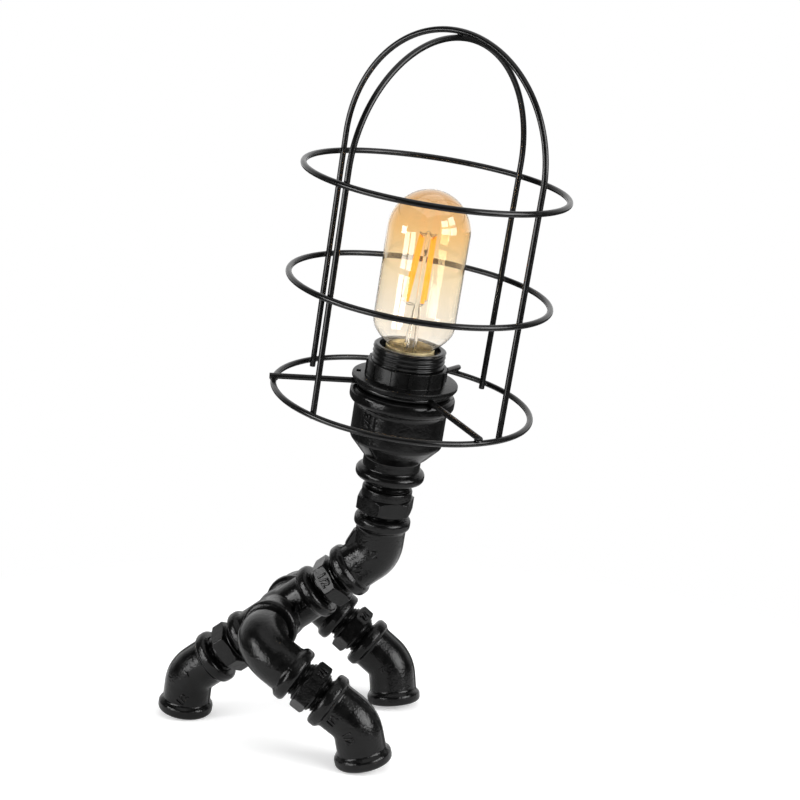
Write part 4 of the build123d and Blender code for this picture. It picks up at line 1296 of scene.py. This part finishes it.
SPOKES = [SPOKE_AZIMUTH + index * 360 / SPOKE_COUNT for index in range(SPOKE_COUNT)]
HOOP_FEET = [azimuth + half for azimuth in (UPPER_HOOP_AZIMUTH, LOWER_HOOP_AZIMUTH) for half in (0, 180)]
for name, ring_r, height in (
    ("hub", HUB_RING_R, CAGE_CLEARANCE + WIRE_R),
    ("bottom", CAGE_RING_R, BOTTOM_RING_HEIGHT),
    ("middle", CAGE_RING_R, MIDDLE_RING_HEIGHT),
    ("top", CAGE_RING_R, TOP_RING_HEIGHT),
):
    mesh = tube_mesh(ring_points(ring_r, height), WIRE_R, closed=True)
    if name == "hub":
        welds = [weld(HUB_RING_R + WIRE_R, azimuth, height + 0.1, OUT, *HUB_WELD) for azimuth in SPOKES]
    else:
        welds = [weld(CAGE_RING_R - WIRE_R, azimuth, height, ROUND) for azimuth in HOOP_FEET]
    if name == "bottom":
        welds += [weld(CAGE_RING_R, azimuth, height + WIRE_R, OUT) for azimuth in SPOKES]
    piece(f"{name}_ring_wire", joined(mesh, *welds), HEAD_PLACE, WIRE, "cage", f"cage_{name}_ring")
for name, azimuth, drop in (
    ("upper", UPPER_HOOP_AZIMUTH, 0.0),
    ("lower", LOWER_HOOP_AZIMUTH, 2 * WIRE_R + WELD_GAP),
):
    points = hoop_points(azimuth, drop)
    mesh = tube_mesh(points, WIRE_R)
    if drop:
        crown = max(point.z for point in points)
        mesh = joined(mesh, weld(0, azimuth, crown + WIRE_R, OUT))
    piece(f"{name}_hoop_wire", mesh, HEAD_PLACE, WIRE, "cage", f"cage_{name}_hoop")
for index in range(SPOKE_COUNT):
    mesh = tube_mesh(spoke_points(index), WIRE_R)
    piece(f"spoke_wire_{index + 1}", mesh, HEAD_PLACE, WIRE, "cage", f"cage_spoke_{index + 1}")

piece("glass_envelope", glass_mesh(), HEAD_PLACE, AMBER, "bulb", "bulb_glass")
piece("glass_stem", stem_mesh(), HEAD_PLACE, CLEAR, "bulb", "bulb_stem")
piece("lead_frame", lead_mesh(), HEAD_PLACE, LEAD, "bulb", "bulb_lead_wires")
piece("cap_shell", cap_mesh(), HEAD_PLACE, CAP_BRASS, "bulb", "bulb_cap")
for index in range(FILAMENT_COUNT):
    low, high = filament_ends(index)
    mesh = tube_mesh([low.lerp(high, i / 8) for i in range(9)], FILAMENT_R, sides=16)
    piece(f"filament_strip_{index + 1}", mesh, HEAD_PLACE, FILAMENT, "bulb", f"bulb_filament_{index + 1}")

# The CAD nodes that stay get a material of their own
for material, *nodes in (
    (ZINC, "tie_tube", "tie_washer_lower", "tie_washer_upper", "tie_nut_lower", "tie_nut_upper"),
    (MOULDED, "holder_cap"),
    (PALE, "terminal_block"),
    (BRASS, "screw_shell", "centre_contact", "terminal_screw_live", "terminal_screw_neutral"),
    (DARK_GLASS, "bulb_cap_insulator"),
    (SOLDER, "bulb_contact_tip"),
):
    for node in nodes:
        mesh = frame["nodes"][node].data
        mesh.materials.clear()
        mesh.materials.append(material)

# ---- Floor, background, light and camera ----

FLOOR_SIZE = 6.0
FLOOR_LIFT = 0.35
FLOOR_FADE = (0.26, 0.42)
FLOOR_GLOSS = 0.08
WORLD_LIGHT = 0.35
GLOSS_FRONT = 0.035
BACKDROP_WAY = (-0.21, 0.97, 0.0)
BACKDROP_FADE = (0.2, 0.8)
LIGHT_TARGET = (0.02, 0.0, 0.22)
# Name, place, width and height in metres, and power in watts
LIGHTS = [
    ("key_left", (-0.348, -0.466, 0.15), (0.34, 0.24), 1.9),
    ("sheen_left", (-0.45, -0.30, 0.31), (0.16, 0.16), 1.0),
    ("top", (0.12, -0.10, 1.05), (1.10, 1.10), 3.6),
    ("edge_right", (0.75, -0.25, 0.25), (0.08, 0.50), 0.8),
]
# The four panes of a window on the right
for row in range(2):
    for column in range(2):
        spot = (0.92, -0.58 + 0.42 * column, 0.34 + 0.36 * row)
        LIGHTS.append((f"window_{row}_{column}", spot, (0.38, 0.32), 2.8))
CAMERA_LENS = 78.338
CAMERA_SENSOR = 36.0
CAMERA_PLACE = (220.052, -908.107, 340.101)
CAMERA_FORWARD = (-0.2076594, 0.96586134, -0.15488524)
CAMERA_UP = (-0.07025098, 0.1432027, 0.98719693)


def floor():
    """White table that fades into pure white away from the lamp and keeps the lamp's shadow."""
    size = FLOOR_SIZE
    mesh = bpy.data.meshes.new("floor")
    mesh.from_pydata([(-size, -size, 0), (size, -size, 0), (size, size, 0), (-size, size, 0)], [], [(0, 1, 2, 3)])
    nodes = Nodes("floor_white", Base_Color=(0.9, 0.9, 0.9, 1.0), Roughness=0.9, Specular_IOR_Level=0.1)
    length = nodes.vector("LENGTH", nodes.add("ShaderNodeTexCoord"), "Object")
    away = nodes.spread(length, "Value", FLOOR_FADE, (0.0, 1.0), smooth=True)
    path = nodes.add("ShaderNodeLightPath")
    lift = nodes.add("ShaderNodeEmission")
    nodes.link(nodes.spread(path, "Is Camera Ray", (0.0, 1.0), (0.0, FLOOR_LIFT)), "Result", lift, "Strength")
    close = nodes.join("ShaderNodeAddShader", (nodes.shader, "BSDF"), (lift, "Emission"))
    gloss = nodes.spread(path, "Is Glossy Ray", (0.0, 1.0), (0.0, FLOOR_GLOSS))
    strength = nodes.join("ShaderNodeMath", (nodes.seen(path), "Value"), (gloss, "Result"), operation="MAXIMUM")
    sheet = nodes.add("ShaderNodeEmission")
    nodes.link(strength, "Value", sheet, "Strength")
    mix = nodes.join("ShaderNodeMixShader", (away, "Result"), (close, "Shader"), (sheet, "Emission"))
    nodes.link(mix, "Shader", nodes.output, "Surface")
    mesh.materials.append(nodes.material)
    linked("floor", mesh)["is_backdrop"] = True


def background():
    """White to the camera and through glass; to reflections it is white behind the lamp only."""
    world = bpy.data.worlds.new("studio")
    bpy.context.scene.world = world
    world.use_nodes = True
    nodes = Tree(world.node_tree)
    light = nodes.add("ShaderNodeBackground", Color=WHITE, Strength=WORLD_LIGHT)
    sheet = nodes.add("ShaderNodeBackground", Color=WHITE)
    path = nodes.add("ShaderNodeLightPath")
    behind = nodes.vector("DOT_PRODUCT", nodes.add("ShaderNodeTexCoord"), "Generated", BACKDROP_WAY)
    spread = nodes.spread(behind, "Value", BACKDROP_FADE, (GLOSS_FRONT, 1.0), smooth=True)
    seen = nodes.seen(path)
    strength = nodes.join("ShaderNodeMath", (seen, "Value"), (spread, "Result"), operation="MAXIMUM")
    nodes.link(strength, "Value", sheet, "Strength")
    both = nodes.join("ShaderNodeMath", (seen, "Value"), (path, "Is Glossy Ray"), operation="MAXIMUM")
    mix = nodes.join("ShaderNodeMixShader", (both, "Value"), (light, "Background"), (sheet, "Background"))
    nodes.link(mix, "Shader", nodes.add("ShaderNodeOutputWorld"), "Surface")


def softbox(name, origin, size, energy):
    """Rectangular lamp that faces the middle of the object."""
    data = bpy.data.lights.new(name, "AREA")
    data.shape = "RECTANGLE"
    data.size, data.size_y = size
    data.energy = energy
    obj = linked(name, data)
    obj.location = origin
    obj.rotation_euler = (Vector(LIGHT_TARGET) - Vector(origin)).to_track_quat("-Z", "Y").to_euler()


floor()
background()
for light in LIGHTS:
    softbox(*light)

camera_data = bpy.data.cameras.new("camera")
camera_data.lens = CAMERA_LENS
camera_data.sensor_width = CAMERA_SENSOR
camera = linked("camera", camera_data)
back = -Vector(CAMERA_FORWARD).normalized()
right = Vector(CAMERA_UP).cross(back).normalized()
turn = Matrix((right, back.cross(right), back)).transposed().to_4x4()
camera.matrix_world = Matrix.Translation(Vector(CAMERA_PLACE) * MM) @ turn
bpy.context.scene.camera = camera
bpy.context.scene.view_settings.view_transform = "Standard"

low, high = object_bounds()
